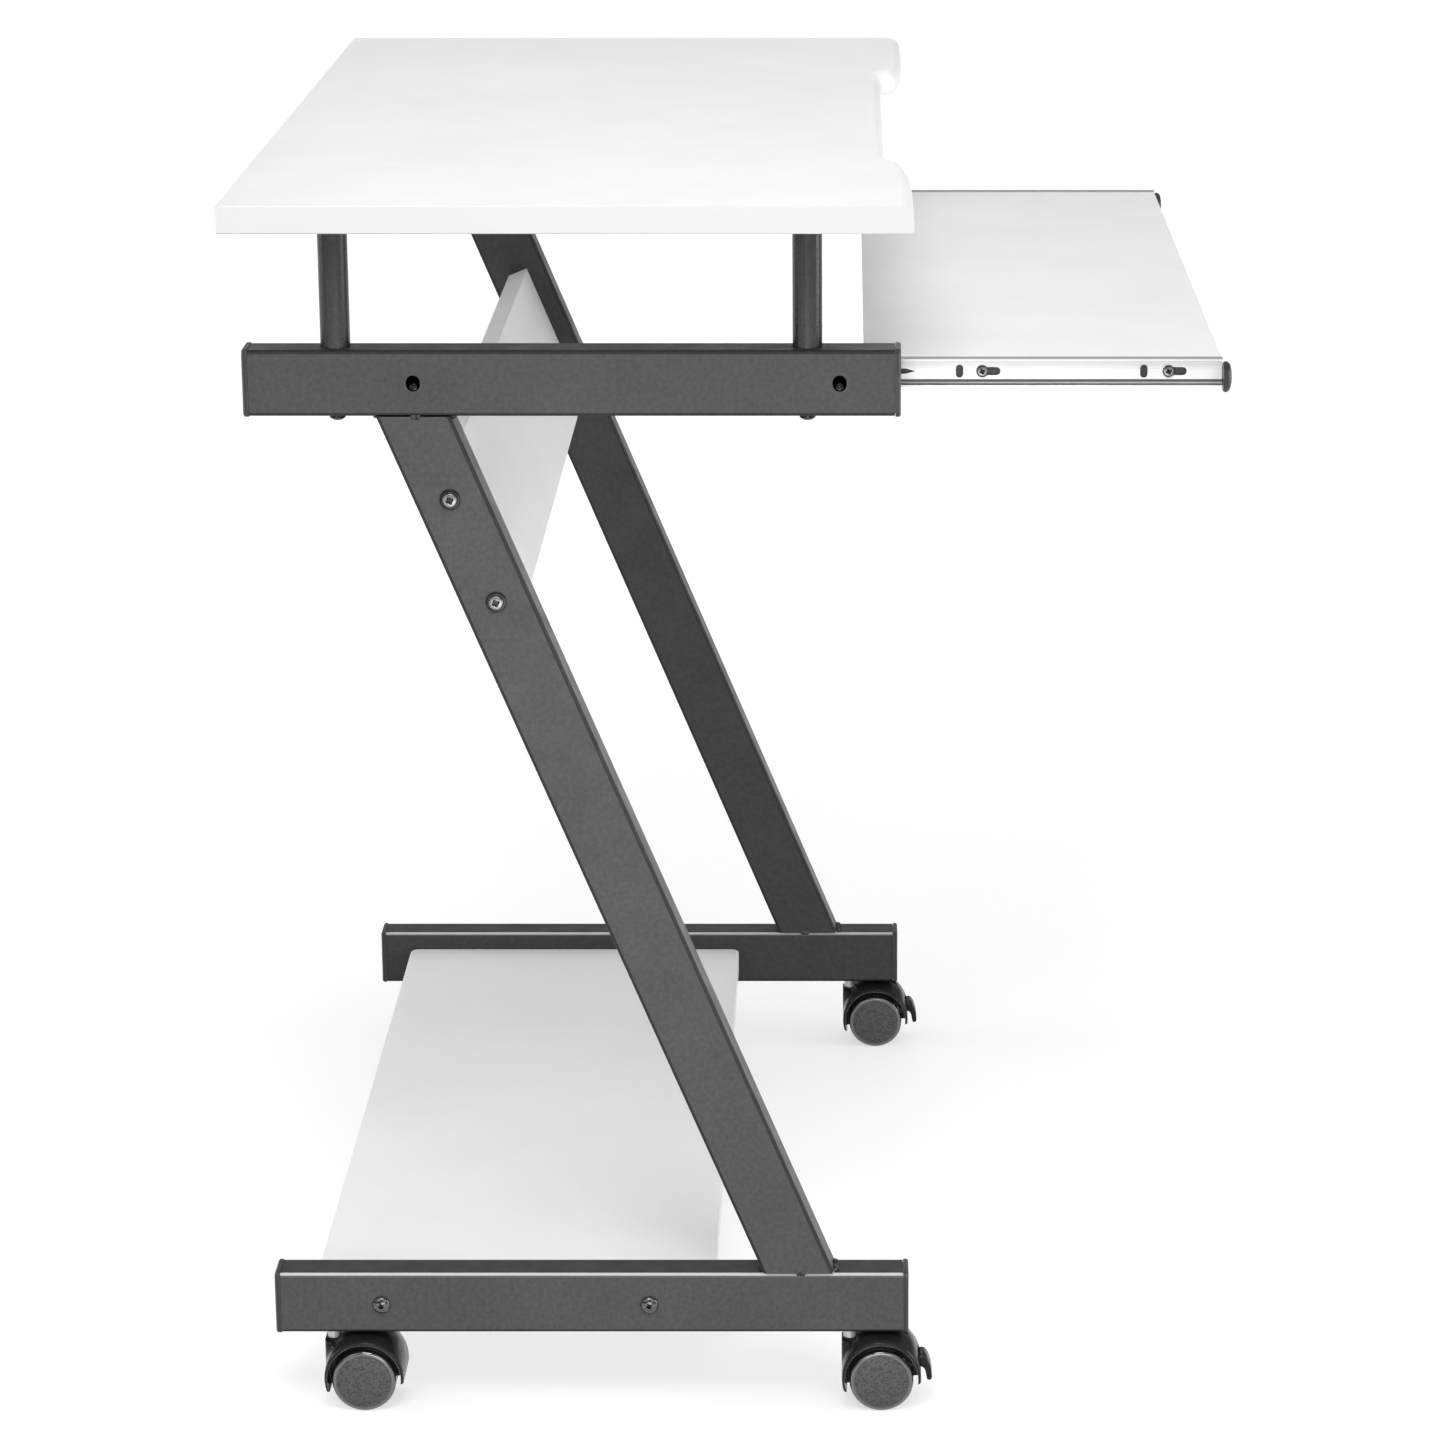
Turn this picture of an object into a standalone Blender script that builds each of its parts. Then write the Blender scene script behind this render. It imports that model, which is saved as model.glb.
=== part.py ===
"""Mobile computer desk with a pull-out keyboard tray, built from separate named parts.

Units are metres. +Z is up, the floor is z = 0, the user sits on the -Y side.
"""

import math

import bmesh
import bpy
from mathutils import Vector

GAP = 0.0003  # clearance between parts that touch
SMALL = 0.001  # keeps a division away from zero
CUT = 0.002  # how far a cutting shape runs past the face it cuts

# How many sides the round shapes have
BORE_SIDES = 16
SCREW_SIDES = 16
POST_SIDES = 24

# Steel side frames
FRAME_X = 0.3327  # centre plane of each side frame
FRAME_Y = 0.0935  # middle of the lower rails
TUBE_HEIGHT = 0.040
TUBE_WIDTH = 0.025
TUBE_WALL = 0.0012
TUBE_CORNER = 0.0022
LOWER_RAIL_LENGTH = 0.400
LOWER_RAIL_Z = 0.0712
UPPER_RAIL_LENGTH = 0.392
UPPER_RAIL_Y = FRAME_Y + 0.0027
UPPER_RAIL_Z = 0.663
LEG_DEPTH = 0.0415
LEG_SLOPE = 0.414  # how far the leg moves back for each metre up
LEG_FOOT_Y = FRAME_Y - 0.1308  # leg centre line where it meets the lower rail

# End caps of the rails
CAP_PLATE = 0.0035
CAP_LIP = 0.0006
CAP_EDGE = 0.0009
CAP_PLUG = 0.012

# Posts that carry the desktop
POST_RADIUS = 0.0089
POST_WALL = 0.0014
POST_YS = {"rear": FRAME_Y + 0.1438, "front": FRAME_Y - 0.1376}
POST_BOLT_RADIUS = 0.003
POST_BOLT_HOLE = 0.0033
POST_BOLT_HEAD = ((0.0, 0.0040), (0.0030, 0.0038), (0.0048, 0.0026), (0.0052, 0.0))  # (radius, drop)
POST_BOLT_REACH = 0.009  # how far the bolt runs up into the desktop

# Desktop board
TOP_WIDTH = 0.760
TOP_DEPTH = 0.4062
TOP_THICK = 0.0163
TOP_Z = 0.775
TOP_FRONT_Y = FRAME_Y - 0.2004
TOP_ROUND = 0.009
TOP_UNDER_ROUND = 0.0025
NOTCH_HALF = 0.184  # half the straight part of the front cut-out
NOTCH_DEPTH = 0.016
NOTCH_INNER_RADIUS = 0.016
NOTCH_OUTER_RADIUS = 0.020
NOTCH_TAIL_RADIUS = 0.500
NOTCH_STEEP = math.radians(40)
NOTCH_SHALLOW = math.radians(8)

# Boards between the side frames
BOARD_THICK = 0.016
BOARD_EDGE = 0.0006
INNER_HALF = FRAME_X - TUBE_WIDTH / 2 - GAP
SHELF_FRONT_Y = FRAME_Y - 0.0771
SHELF_BACK_Y = FRAME_Y + 0.1768
SHELF_TOP_Z = 0.0784
SHELF_CORNER = 0.006
PANEL_HEIGHT = 0.106
PANEL_THICK = 0.015
PANEL_Z = 0.5605

# Screws that hold the boards; their heads stand on the side frames' outer walls
SHANK_RADIUS = 0.002
SHANK_POINT = 0.0008  # radius of the shank's blunt end
SHANK_TAPER = 0.004
SHANK_LENGTH = 0.046
SCREW_HOLE = 0.0023
PILOT_DEPTH = 0.001  # how far a pilot hole runs past the screw's end
PANEL_SCREW_ZS = {"upper": 0.5924, "lower": 0.5290}
SHELF_SCREW_YS = {"rear": FRAME_Y + 0.1330, "front": FRAME_Y - 0.0363}
# Heads as (radius, height above the seat): a flanged pan head and a plain domed one
PANEL_HEAD = (
    (0.00625, 0.0), (0.00625, 0.0007), (0.0060, 0.0010),
    (0.0043, 0.0011), (0.0043, 0.0030), (0.0038, 0.0035), (0.0, 0.0036),
)
SHELF_HEAD = (
    (0.0057, 0.0), (0.0056, 0.0009), (0.0049, 0.0020),
    (0.0036, 0.0029), (0.0020, 0.0033), (0.0, 0.0034),
)
PANEL_RECESS = 0.0032  # half the length of the head's cross recess
SHELF_RECESS = 0.0026
RECESS_ARM = 0.0007
RECESS_DEPTH = 0.0016
RECESS_TURN = math.radians(22)

# Keyboard tray and its slides, drawn pulled out
TRAY_FRONT_Y = FRAME_Y - 0.3872
TRAY_BACK_Y = FRAME_Y - 0.1714
TRAY_TOP_Z = 0.6711
TRAY_HALF = 0.3070
SLIDE_Z = 0.6631
SLIDE_SHEET = 0.0012
SLIDE_LENGTH = 0.300
MOVING_HEIGHT = 0.0174
MOVING_FLANGE = 0.0066
FIXED_HEIGHT = MOVING_HEIGHT - 2 * SLIDE_SHEET - 2 * GAP
FIXED_FLANGE = 0.0098
FIXED_FRONT_Y = FRAME_Y - 0.190
ACCESS_YS = (FRAME_Y + 0.0971, FRAME_Y - 0.1568)
ACCESS_HALF_WIDTH = 0.00425
ACCESS_HALF_HEIGHT = 0.005
ACCESS_CORNER = 0.0042
OVAL_SLOT_YS = (FRAME_Y - 0.2290, FRAME_Y - 0.3401)
OVAL_SLOT_WIDTH = 0.0045
OVAL_SLOT_HEIGHT = 0.0080
OVAL_SLOT_CORNER = 0.0022
KEYHOLE_YS = (FRAME_Y - 0.2427, FRAME_Y - 0.3550)
KEYHOLE_RADIUS = 0.0035
KEYHOLE_LENGTH = 0.0110
KEYHOLE_SPREAD = math.radians(45)  # half the angle of the round hole that opens into its slot
LANCE_BACK_Y = FRAME_Y - 0.160
LANCE_TIP_Y = FRAME_Y - 0.2025
LANCE_POINT = 0.006
LANCE_HALF = 0.0016
# Bumper as (radius, distance in front of the slide)
BUMPER_PROFILE = (
    (0.0, GAP), (0.0087, GAP), (0.0095, 0.0016), (0.0091, 0.0032),
    (0.0076, 0.0045), (0.0043, 0.0053), (0.0, 0.0055),
)
BUMPER_SIDES = 24
BUMPER_X = 0.3125
BUMPER_Z = 0.6605

# Twin-wheel casters, drawn trailing forward
CASTER_YS = {"rear": FRAME_Y + 0.1653, "front": FRAME_Y - 0.1627}
AXLE_AHEAD = 0.0203
WHEEL_RADIUS = 0.02035
WHEEL_SEGMENTS = 32
AXLE_Z = WHEEL_RADIUS * math.cos(math.pi / WHEEL_SEGMENTS)  # a flat of the wheel rests on the floor
WHEEL_INNER = 0.0053
WHEEL_OUTER = 0.020
WHEEL_CHAMFER = 0.0012
WHEEL_ROUND = 0.0016
WHEEL_DOME = 0.0006  # how far the outer face bulges
AXLE_RADIUS = 0.003
AXLE_HALF = 0.0155
WHEEL_BORE = 0.0031
HOOD_HALF = 0.0195
HOOD_Z = 0.0216  # height the hood's curve is struck from
HOOD_REACH = 0.0252
HOOD_SIDE_RISE = 0.0256
HOOD_CROWN_RISE = 0.0282
HOOD_SIDE_POWER = 2.0  # 2 is a plain oval, more is squarer
HOOD_CROWN_POWER = 2.5
HOOD_FRONT_TIP = math.radians(-7)
HOOD_REAR_TIP = math.radians(200)
HOOD_LIP = ((0.0, 0.0011), (0.0007, 0.0004), (0.0022, 0.0))  # (in from the side, down from the skin)
CAVITY_RADIUS = 0.0234
WELL_SEGMENTS = 36
WEB_HALF = 0.0047
HUB_RADIUS = 0.0046
BOSS_TOP_Z = 0.0435
BOSS_BACK = 0.0050
BOSS_FRONT = 0.0046
BOSS_STEP = 0.09  # angle between the block's front and the crown behind it
BOSS_CORNER_STEP = 0.12
BOSS_FULL_X = 0.0062
BOSS_END_X = 0.0100
HOOD_SHOULDER_X = 0.0145
STEM_COLLAR_RADIUS = 0.0040
STEM_SHANK_RADIUS = 0.0029
STEM_THREAD_RADIUS = 0.0037
STEM_FOOT_Z = 0.0305
STEM_HEAD_Z = 0.072
STEM_CHAMFER = 0.001
STEM_HOLE = 0.0041
LEVER_HALF = 0.007
LEVER_PIVOT_AHEAD = 0.0417
LEVER_PIVOT_Z = 0.0289
LEVER_PIVOT_RADIUS = 0.0024
LEVER_EDGE = 0.0004
# Side view of the lever ahead of its pivot, as (ahead, up)
LEVER_OUTLINE = (
    (0.0010, 0.0027), (0.0026, 0.0039), (0.0041, 0.0043), (0.0056, 0.0038),
    (0.0074, 0.0016), (0.0089, -0.0015), (0.0098, -0.0046), (0.0104, -0.0109),
    (0.0100, -0.0126), (0.0089, -0.0130), (0.0080, -0.0122), (0.0076, -0.0096),
    (0.0069, -0.0063), (0.0055, -0.0043), (0.0036, -0.0033), (0.0017, -0.0025),
)
LEVER_ROOM = 0.0008  # side clearance of the lever in its pocket
POCKET_FRONT = 0.012
POCKET_BACK = 0.003
POCKET_LOW_Z = LEVER_PIVOT_Z - 0.0054
POCKET_HIGH_Z = LEVER_PIVOT_Z + 0.0074

SIDES = (("left", -1), ("right", 1))
COLOURS = {
    "white_board": ((0.86, 0.86, 0.86), 0.45, 0.0),
    "graphite_paint": ((0.10, 0.10, 0.105), 0.45, 0.0),
    "black_plastic": ((0.02, 0.02, 0.022), 0.5, 0.0),
    "wheel_plastic": ((0.05, 0.05, 0.052), 0.6, 0.0),
    "zinc_steel": ((0.75, 0.75, 0.76), 0.35, 1.0),
    "dark_screw": ((0.20, 0.20, 0.21), 0.35, 1.0),
}


def clear_scene():
    """Removes the start-up objects."""
    for item in list(bpy.data.objects):
        bpy.data.objects.remove(item, do_unlink=True)


def make_material(name, slot):
    """Makes one material from the colour table."""
    colour, roughness, metallic = COLOURS[slot]
    material = bpy.data.materials.new(name)
    material.use_nodes = True
    shader = material.node_tree.nodes["Principled BSDF"]
    shader.inputs["Base Color"].default_value = (*colour, 1.0)
    shader.inputs["Roughness"].default_value = roughness
    shader.inputs["Metallic"].default_value = metallic
    return material


def make_object(name, bm, slot, origin=(0.0, 0.0, 0.0)):
    """Turns a closed bmesh into a named object whose origin is at the given point."""
    bmesh.ops.recalc_face_normals(bm, faces=bm.faces)
    bmesh.ops.translate(bm, verts=bm.verts, vec=-Vector(origin))
    mesh = bpy.data.meshes.new(name)
    bm.to_mesh(mesh)
    bm.free()
    mesh.shade_smooth()
    mesh.set_sharp_from_angle(angle=math.radians(32))
    mesh.materials.append(make_material(name, slot))
    item = bpy.data.objects.new(name, mesh)
    item.location = origin
    bpy.context.collection.objects.link(item)
    return item


def make_tool(name, bm):
    """Turns a bmesh into a hidden shape used only by Boolean modifiers."""
    bmesh.ops.recalc_face_normals(bm, faces=bm.faces)
    mesh = bpy.data.meshes.new(name)
    bm.to_mesh(mesh)
    bm.free()
    tool = bpy.data.objects.new(name, mesh)
    tool.hide_render = True
    tool.display_type = "WIRE"
    bpy.context.collection.objects.link(tool)
    return tool


def cut(item, tool):
    """Subtracts a tool shape."""
    boolean = item.modifiers.new(tool.name, "BOOLEAN")
    boolean.operation = "DIFFERENCE"
    boolean.solver = "EXACT"
    boolean.object = tool


def join_rings(bm, first, second):
    """Faces between two rings of vertices. A ring of one vertex is a point."""
    count = max(len(first), len(second))
    for i in range(count):
        j = (i + 1) % count
        if len(first) == 1:
            bm.faces.new((first[0], second[i], second[j]))
        elif len(second) == 1:
            bm.faces.new((first[i], first[j], second[0]))
        else:
            bm.faces.new((first[i], first[j], second[j], second[i]))


def loft(bm, loops, closed=False):
    """Skins a list of point loops. A closed loft joins the last loop to the first."""
    rings = []
    for loop in loops:
        rings.append([bm.verts.new(point) for point in loop])
    for first, second in zip(rings, rings[1:]):
        join_rings(bm, first, second)
    if closed:
        join_rings(bm, rings[-1], rings[0])
        return
    for ring in (rings[0], rings[-1]):
        if len(ring) > 1:
            bm.faces.new(ring)


def revolve(bm, profile, centre, axis, segments, closed=False):
    """Solid of revolution. Profile points are (radius, distance along the axis)."""
    turn = Vector((0.0, 0.0, 1.0)).rotation_difference(Vector(axis))
    centre = Vector(centre)
    loops = []
    for radius, along in profile:
        if radius == 0.0:
            loops.append([centre + turn @ Vector((0.0, 0.0, along))])
            continue
        loop = []
        for i in range(segments):
            angle = 2 * math.pi * (i + 0.5) / segments
            spoke = Vector((radius * math.cos(angle), radius * math.sin(angle), along))
            loop.append(centre + turn @ spoke)
        loops.append(loop)
    loft(bm, loops, closed)


def extrude_x(bm, outline, low, high):
    """Solid with a (y, z) outline between two x positions."""
    ends = []
    for x in (low, high):
        ends.append([(x, y, z) for y, z in outline])
    loft(bm, ends)


def box(bm, low, high):
    """Rectangular block between two corners."""
    outline = ((low[1], low[2]), (high[1], low[2]), (high[1], high[2]), (low[1], high[2]))
    extrude_x(bm, outline, low[0], high[0])


def soften(bm, width, angle=math.radians(50), segments=1):
    """Bevels every edge sharper than an angle."""
    bmesh.ops.recalc_face_normals(bm, faces=bm.faces)
    edges = [edge for edge in bm.edges if edge.calc_face_angle(0.0) > angle]
    bmesh.ops.bevel(bm, geom=edges, offset=width, segments=segments, profile=0.5, affect="EDGES")


def rounded_rectangle(width, height, radius, steps=3):
    """Points round a rectangle with rounded corners, centred on zero."""
    points = []
    corners = ((1, 1, 0.0), (-1, 1, 0.5), (-1, -1, 1.0), (1, -1, 1.5))
    for side, level, start in corners:
        for i in range(steps + 1):
            angle = math.pi * (start + 0.5 * i / steps)
            across = side * (width / 2 - radius) + radius * math.cos(angle)
            up = level * (height / 2 - radius) + radius * math.sin(angle)
            points.append((across, up))
    return points


# ---------------------------------------------------------------- side frames


def tube_sections(height):
    """Outer and inner outlines of the steel tube."""
    outer = rounded_rectangle(TUBE_WIDTH, height, TUBE_CORNER)
    inner = rounded_rectangle(TUBE_WIDTH - 2 * TUBE_WALL, height - 2 * TUBE_WALL, TUBE_CORNER - TUBE_WALL)
    return outer, inner


def rail_bmesh(x, low_y, high_y, z):
    """Open-ended level tube."""
    bm = bmesh.new()
    outer, inner = tube_sections(TUBE_HEIGHT)
    loops = []
    for section, y in ((outer, low_y), (outer, high_y), (inner, high_y), (inner, low_y)):
        loops.append([(x + across, y, z + up) for across, up in section])
    loft(bm, loops, closed=True)
    return bm


def leg_centre_y(z):
    """Centre line of the sloping leg at a height."""
    return LEG_FOOT_Y + LEG_SLOPE * (z - LOWER_RAIL_Z - TUBE_HEIGHT / 2)


def leg_bmesh(x, low_z, high_z):
    """Sloping tube cut level at both ends."""
    bm = bmesh.new()
    outer, inner = tube_sections(LEG_DEPTH)
    stretch = math.hypot(1.0, LEG_SLOPE)
    loops = []
    for section, z in ((outer, low_z), (outer, high_z), (inner, high_z), (inner, low_z)):
        y = leg_centre_y(z)
        loops.append([(x + across, y + depth * stretch, z) for across, depth in section])
    loft(bm, loops, closed=True)
    return bm


def cross_bore(bm, side, y, z):
    """Screw hole through both walls of a side frame's tube."""
    face = side * (FRAME_X + TUBE_WIDTH / 2)
    profile = (
        (0.0, -CUT),
        (SCREW_HOLE, -CUT),
        (SCREW_HOLE, TUBE_WIDTH + CUT),
        (0.0, TUBE_WIDTH + CUT),
    )
    revolve(bm, profile, (face, y, z), (-side, 0, 0), BORE_SIDES)


def upright_bore(bm, x, y, low_z, high_z, radius):
    """Round vertical hole."""
    profile = ((0.0, low_z), (radius, low_z), (radius, high_z), (0.0, high_z))
    revolve(bm, profile, (x, y, 0.0), (0, 0, 1), BORE_SIDES)


def access_bore(bm, side, y):
    """Rounded slot in the outer wall that lets a screwdriver reach the slide's screw."""
    face = side * (FRAME_X + TUBE_WIDTH / 2)
    slot = rounded_rectangle(2 * ACCESS_HALF_WIDTH, 2 * ACCESS_HALF_HEIGHT, ACCESS_CORNER, 5)
    outline = [(y + across, UPPER_RAIL_Z + up) for across, up in slot]
    extrude_x(bm, outline, face - side * (TUBE_WALL + CUT), face + side * CUT)


def build_cap(name, x, y, z, outward):
    """End cap: a lipped plate with a plug that goes inside the tube."""
    bm = bmesh.new()
    wide = TUBE_WIDTH + 2 * CAP_LIP
    tall = TUBE_HEIGHT + 2 * CAP_LIP
    face = rounded_rectangle(wide - 2 * CAP_EDGE, tall - 2 * CAP_EDGE, TUBE_CORNER)
    rim = rounded_rectangle(wide, tall, TUBE_CORNER + CAP_LIP)
    inset = 2 * (TUBE_WALL + GAP)
    plug = rounded_rectangle(TUBE_WIDTH - inset, TUBE_HEIGHT - inset, TUBE_CORNER - TUBE_WALL)
    stations = (
        (face, CAP_PLATE),
        (rim, CAP_PLATE - CAP_EDGE),
        (rim, GAP),
        (plug, GAP),
        (plug, -CAP_PLUG),
    )
    loops = []
    for section, along in stations:
        loops.append([(x + across, y + outward * along, z + up) for across, up in section])
    loft(bm, loops)
    make_object(name, bm, "black_plastic")


def build_rail(name, side_name, side, length, middle_y, z, bores):
    """One level rail with its two end caps."""
    x = side * FRAME_X
    half = length / 2 - CAP_PLATE
    rail = make_object(
        f"{name}_rail_{side_name}",
        rail_bmesh(x, middle_y - half, middle_y + half, z),
        "graphite_paint",
    )
    cut(rail, make_tool(f"{name}_bores_{side_name}", bores))
    for end, outward in (("rear", 1), ("front", -1)):
        build_cap(f"end_cap_{name}_{side_name}_{end}", x, middle_y + outward * half, z, outward)


def build_upper_rail(side_name, side):
    """Upper rail: carries the posts above and the tray slide on its inner face."""
    bores = bmesh.new()
    for y in ACCESS_YS:
        access_bore(bores, side, y)
    low = UPPER_RAIL_Z - TUBE_HEIGHT / 2 - CUT
    high = UPPER_RAIL_Z + TUBE_HEIGHT / 2 + CUT
    for y in POST_YS.values():
        upright_bore(bores, side * FRAME_X, y, low, high, POST_BOLT_HOLE)
    build_rail("upper", side_name, side, UPPER_RAIL_LENGTH, UPPER_RAIL_Y, UPPER_RAIL_Z, bores)


def build_lower_rail(side_name, side):
    """Lower rail: carries the shelf and stands on two casters."""
    bores = bmesh.new()
    for y in SHELF_SCREW_YS.values():
        cross_bore(bores, side, y, SHELF_TOP_Z - BOARD_THICK / 2)
    underside = LOWER_RAIL_Z - TUBE_HEIGHT / 2
    for y in CASTER_YS.values():
        upright_bore(bores, side * FRAME_X, y, underside - CUT, underside + TUBE_WALL + CUT, STEM_HOLE)
    build_rail("lower", side_name, side, LOWER_RAIL_LENGTH, FRAME_Y, LOWER_RAIL_Z, bores)


def build_leg(side_name, side):
    """Sloping leg between the rails, bored for the back panel's screws."""
    low = LOWER_RAIL_Z + TUBE_HEIGHT / 2 + GAP
    high = UPPER_RAIL_Z - TUBE_HEIGHT / 2 - GAP
    leg = make_object(f"leg_{side_name}", leg_bmesh(side * FRAME_X, low, high), "graphite_paint")
    bores = bmesh.new()
    for z in PANEL_SCREW_ZS.values():
        cross_bore(bores, side, leg_centre_y(z), z)
    cut(leg, make_tool(f"leg_bores_{side_name}", bores))


def build_posts(side_name, side):
    """Round spacer posts and the bolts that run through them into the desktop."""
    top_of_rail = UPPER_RAIL_Z + TUBE_HEIGHT / 2
    under_rail = UPPER_RAIL_Z - TUBE_HEIGHT / 2
    underside = TOP_Z - TOP_THICK
    low = top_of_rail + GAP
    high = underside - GAP
    wall = ((POST_RADIUS, low), (POST_RADIUS, high))
    bore = ((POST_RADIUS - POST_WALL, high), (POST_RADIUS - POST_WALL, low))
    for end, y in POST_YS.items():
        bm = bmesh.new()
        revolve(bm, wall + bore, (side * FRAME_X, y, 0.0), (0, 0, 1), POST_SIDES, closed=True)
        make_object(f"post_{side_name}_{end}", bm, "graphite_paint")
        seat = under_rail - GAP
        tip = underside + POST_BOLT_REACH
        profile = [(radius, seat - drop) for radius, drop in POST_BOLT_HEAD]
        profile += [(POST_BOLT_RADIUS, seat), (POST_BOLT_RADIUS, tip), (0.0, tip)]
        bm = bmesh.new()
        revolve(bm, profile, (side * FRAME_X, y, 0.0), (0, 0, 1), SCREW_SIDES)
        make_object(f"post_bolt_{side_name}_{end}", bm, "dark_screw")


# --------------------------------------------------------------------- boards


def arc_points(start, heading, radius, turn, steps):
    """Walks along an arc and returns its points and the new heading. Positive turns go left."""
    points = []
    swing = math.copysign(1.0, turn)
    centre_x = start[0] - swing * radius * math.sin(heading)
    centre_y = start[1] + swing * radius * math.cos(heading)
    for i in range(1, steps + 1):
        angle = heading + turn * i / steps
        x = centre_x + swing * radius * math.sin(angle)
        y = centre_y - swing * radius * math.cos(angle)
        points.append((x, y, angle))
    return points


def notch_half_path():
    """Right half of the desktop's front edge, from the middle of the cut-out outward."""
    path = [(0.0, NOTCH_DEPTH, 0.0), (NOTCH_HALF, NOTCH_DEPTH, 0.0)]
    path += arc_points(path[-1], 0.0, NOTCH_INNER_RADIUS, -NOTCH_STEEP, 5)
    fall = NOTCH_DEPTH
    fall -= NOTCH_INNER_RADIUS * (1 - math.cos(NOTCH_STEEP))
    fall -= NOTCH_OUTER_RADIUS * (math.cos(NOTCH_SHALLOW) - math.cos(NOTCH_STEEP))
    fall -= NOTCH_TAIL_RADIUS * (1 - math.cos(NOTCH_SHALLOW))
    x, y, heading = path[-1]
    path.append((x + fall / math.tan(NOTCH_STEEP), y - fall, heading))
    path += arc_points(path[-1], heading, NOTCH_OUTER_RADIUS, NOTCH_STEEP - NOTCH_SHALLOW, 5)
    path += arc_points(path[-1], path[-1][2], NOTCH_TAIL_RADIUS, NOTCH_SHALLOW, 6)
    path.append((TOP_WIDTH / 2, path[-1][1], 0.0))
    return path


def front_edge_profile():
    """Cross-section of the desktop's front edge as (inset, height above the underside)."""
    profile = []
    for i in range(7):
        angle = math.pi / 2 * i / 6
        inset = TOP_ROUND * (1 - math.sin(angle))
        height = TOP_THICK - TOP_ROUND * (1 - math.cos(angle))
        profile.append((inset, height))
    for i in range(4):
        angle = math.pi / 2 * i / 3
        inset = TOP_UNDER_ROUND * (1 - math.cos(angle))
        height = TOP_UNDER_ROUND * (1 - math.sin(angle))
        profile.append((inset, height))
    return profile


def desktop_sections():
    """Front-edge cross-sections from left to right, each closed along the back of the board."""
    half = notch_half_path()
    left = [(-x, y, -heading) for x, y, heading in reversed(half[1:])]
    underside = TOP_Z - TOP_THICK
    back = TOP_FRONT_Y + TOP_DEPTH
    sections = []
    for x, y, heading in left + half[1:]:
        section = []
        for inset, height in front_edge_profile():
            across = x - inset * math.sin(heading)
            depth = TOP_FRONT_Y + y + inset * math.cos(heading)
            section.append((across, depth, underside + height))
        section.append((x, back, underside))
        section.append((x, back, TOP_Z))
        sections.append(section)
    return sections


def build_desktop():
    """Desktop board with a rounded front edge that follows the shallow cut-out."""
    bm = bmesh.new()
    loft(bm, desktop_sections())
    ends = [edge for edge in bm.edges if is_plain_rim(edge)]
    bmesh.ops.bevel(bm, geom=ends, offset=BOARD_EDGE, segments=1, profile=0.5, affect="EDGES")
    desktop = make_object("desktop", bm, "white_board")
    bores = bmesh.new()
    underside = TOP_Z - TOP_THICK
    for _, side in SIDES:
        for y in POST_YS.values():
            high = underside + POST_BOLT_REACH + PILOT_DEPTH
            upright_bore(bores, side * FRAME_X, y, underside - CUT, high, POST_BOLT_HOLE)
    cut(desktop, make_tool("desktop_bores", bores))


def is_plain_rim(edge):
    """True for the desktop's straight rims along its sides and its back."""
    middle = (edge.verts[0].co + edge.verts[1].co) / 2
    along_y = abs(edge.verts[0].co.y - edge.verts[1].co.y) > TOP_DEPTH / 2
    on_side = abs(abs(middle.x) - TOP_WIDTH / 2) < GAP
    on_back = abs(middle.y - TOP_FRONT_Y - TOP_DEPTH) < GAP
    return (along_y and on_side) or (on_back and edge.calc_face_angle(0.0) > 1.0)


def screw_pilot(bm, side, y, z):
    """Blind hole in a board's end for a screw."""
    deep = FRAME_X + TUBE_WIDTH / 2 - SHANK_LENGTH - PILOT_DEPTH
    mouth = INNER_HALF + CUT
    profile = ((0.0, deep), (SCREW_HOLE, deep), (SCREW_HOLE, mouth), (0.0, mouth))
    revolve(bm, profile, (0.0, y, z), (side, 0, 0), BORE_SIDES)


def build_shelf():
    """Bottom shelf with rounded corners."""
    bm = bmesh.new()
    depth = SHELF_BACK_Y - SHELF_FRONT_Y
    middle = (SHELF_BACK_Y + SHELF_FRONT_Y) / 2
    outline = rounded_rectangle(2 * INNER_HALF, depth, SHELF_CORNER, 4)
    loops = []
    for z in (SHELF_TOP_Z - BOARD_THICK, SHELF_TOP_Z):
        loops.append([(across, middle + along, z) for across, along in outline])
    loft(bm, loops)
    soften(bm, BOARD_EDGE)
    shelf = make_object("bottom_shelf", bm, "white_board")
    pilots = bmesh.new()
    for _, side in SIDES:
        for y in SHELF_SCREW_YS.values():
            screw_pilot(pilots, side, y, SHELF_TOP_Z - BOARD_THICK / 2)
    cut(shelf, make_tool("shelf_pilots", pilots))


def build_back_panel():
    """Back panel between the legs, sloping with them."""
    bm = bmesh.new()
    stretch = math.hypot(1.0, LEG_SLOPE)
    up = (LEG_SLOPE / stretch, 1.0 / stretch)
    out = (up[1], -up[0])
    outline = []
    for along, across in ((-1, -1), (1, -1), (1, 1), (-1, 1)):
        y = along * PANEL_HEIGHT / 2 * up[0] + across * PANEL_THICK / 2 * out[0]
        z = along * PANEL_HEIGHT / 2 * up[1] + across * PANEL_THICK / 2 * out[1]
        outline.append((leg_centre_y(PANEL_Z) + y, PANEL_Z + z))
    extrude_x(bm, outline, -INNER_HALF, INNER_HALF)
    soften(bm, BOARD_EDGE)
    panel = make_object("back_panel", bm, "white_board")
    pilots = bmesh.new()
    for _, side in SIDES:
        for z in PANEL_SCREW_ZS.values():
            screw_pilot(pilots, side, leg_centre_y(z), z)
    cut(panel, make_tool("panel_pilots", pilots))


# --------------------------------------------------------------------- screws


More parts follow.
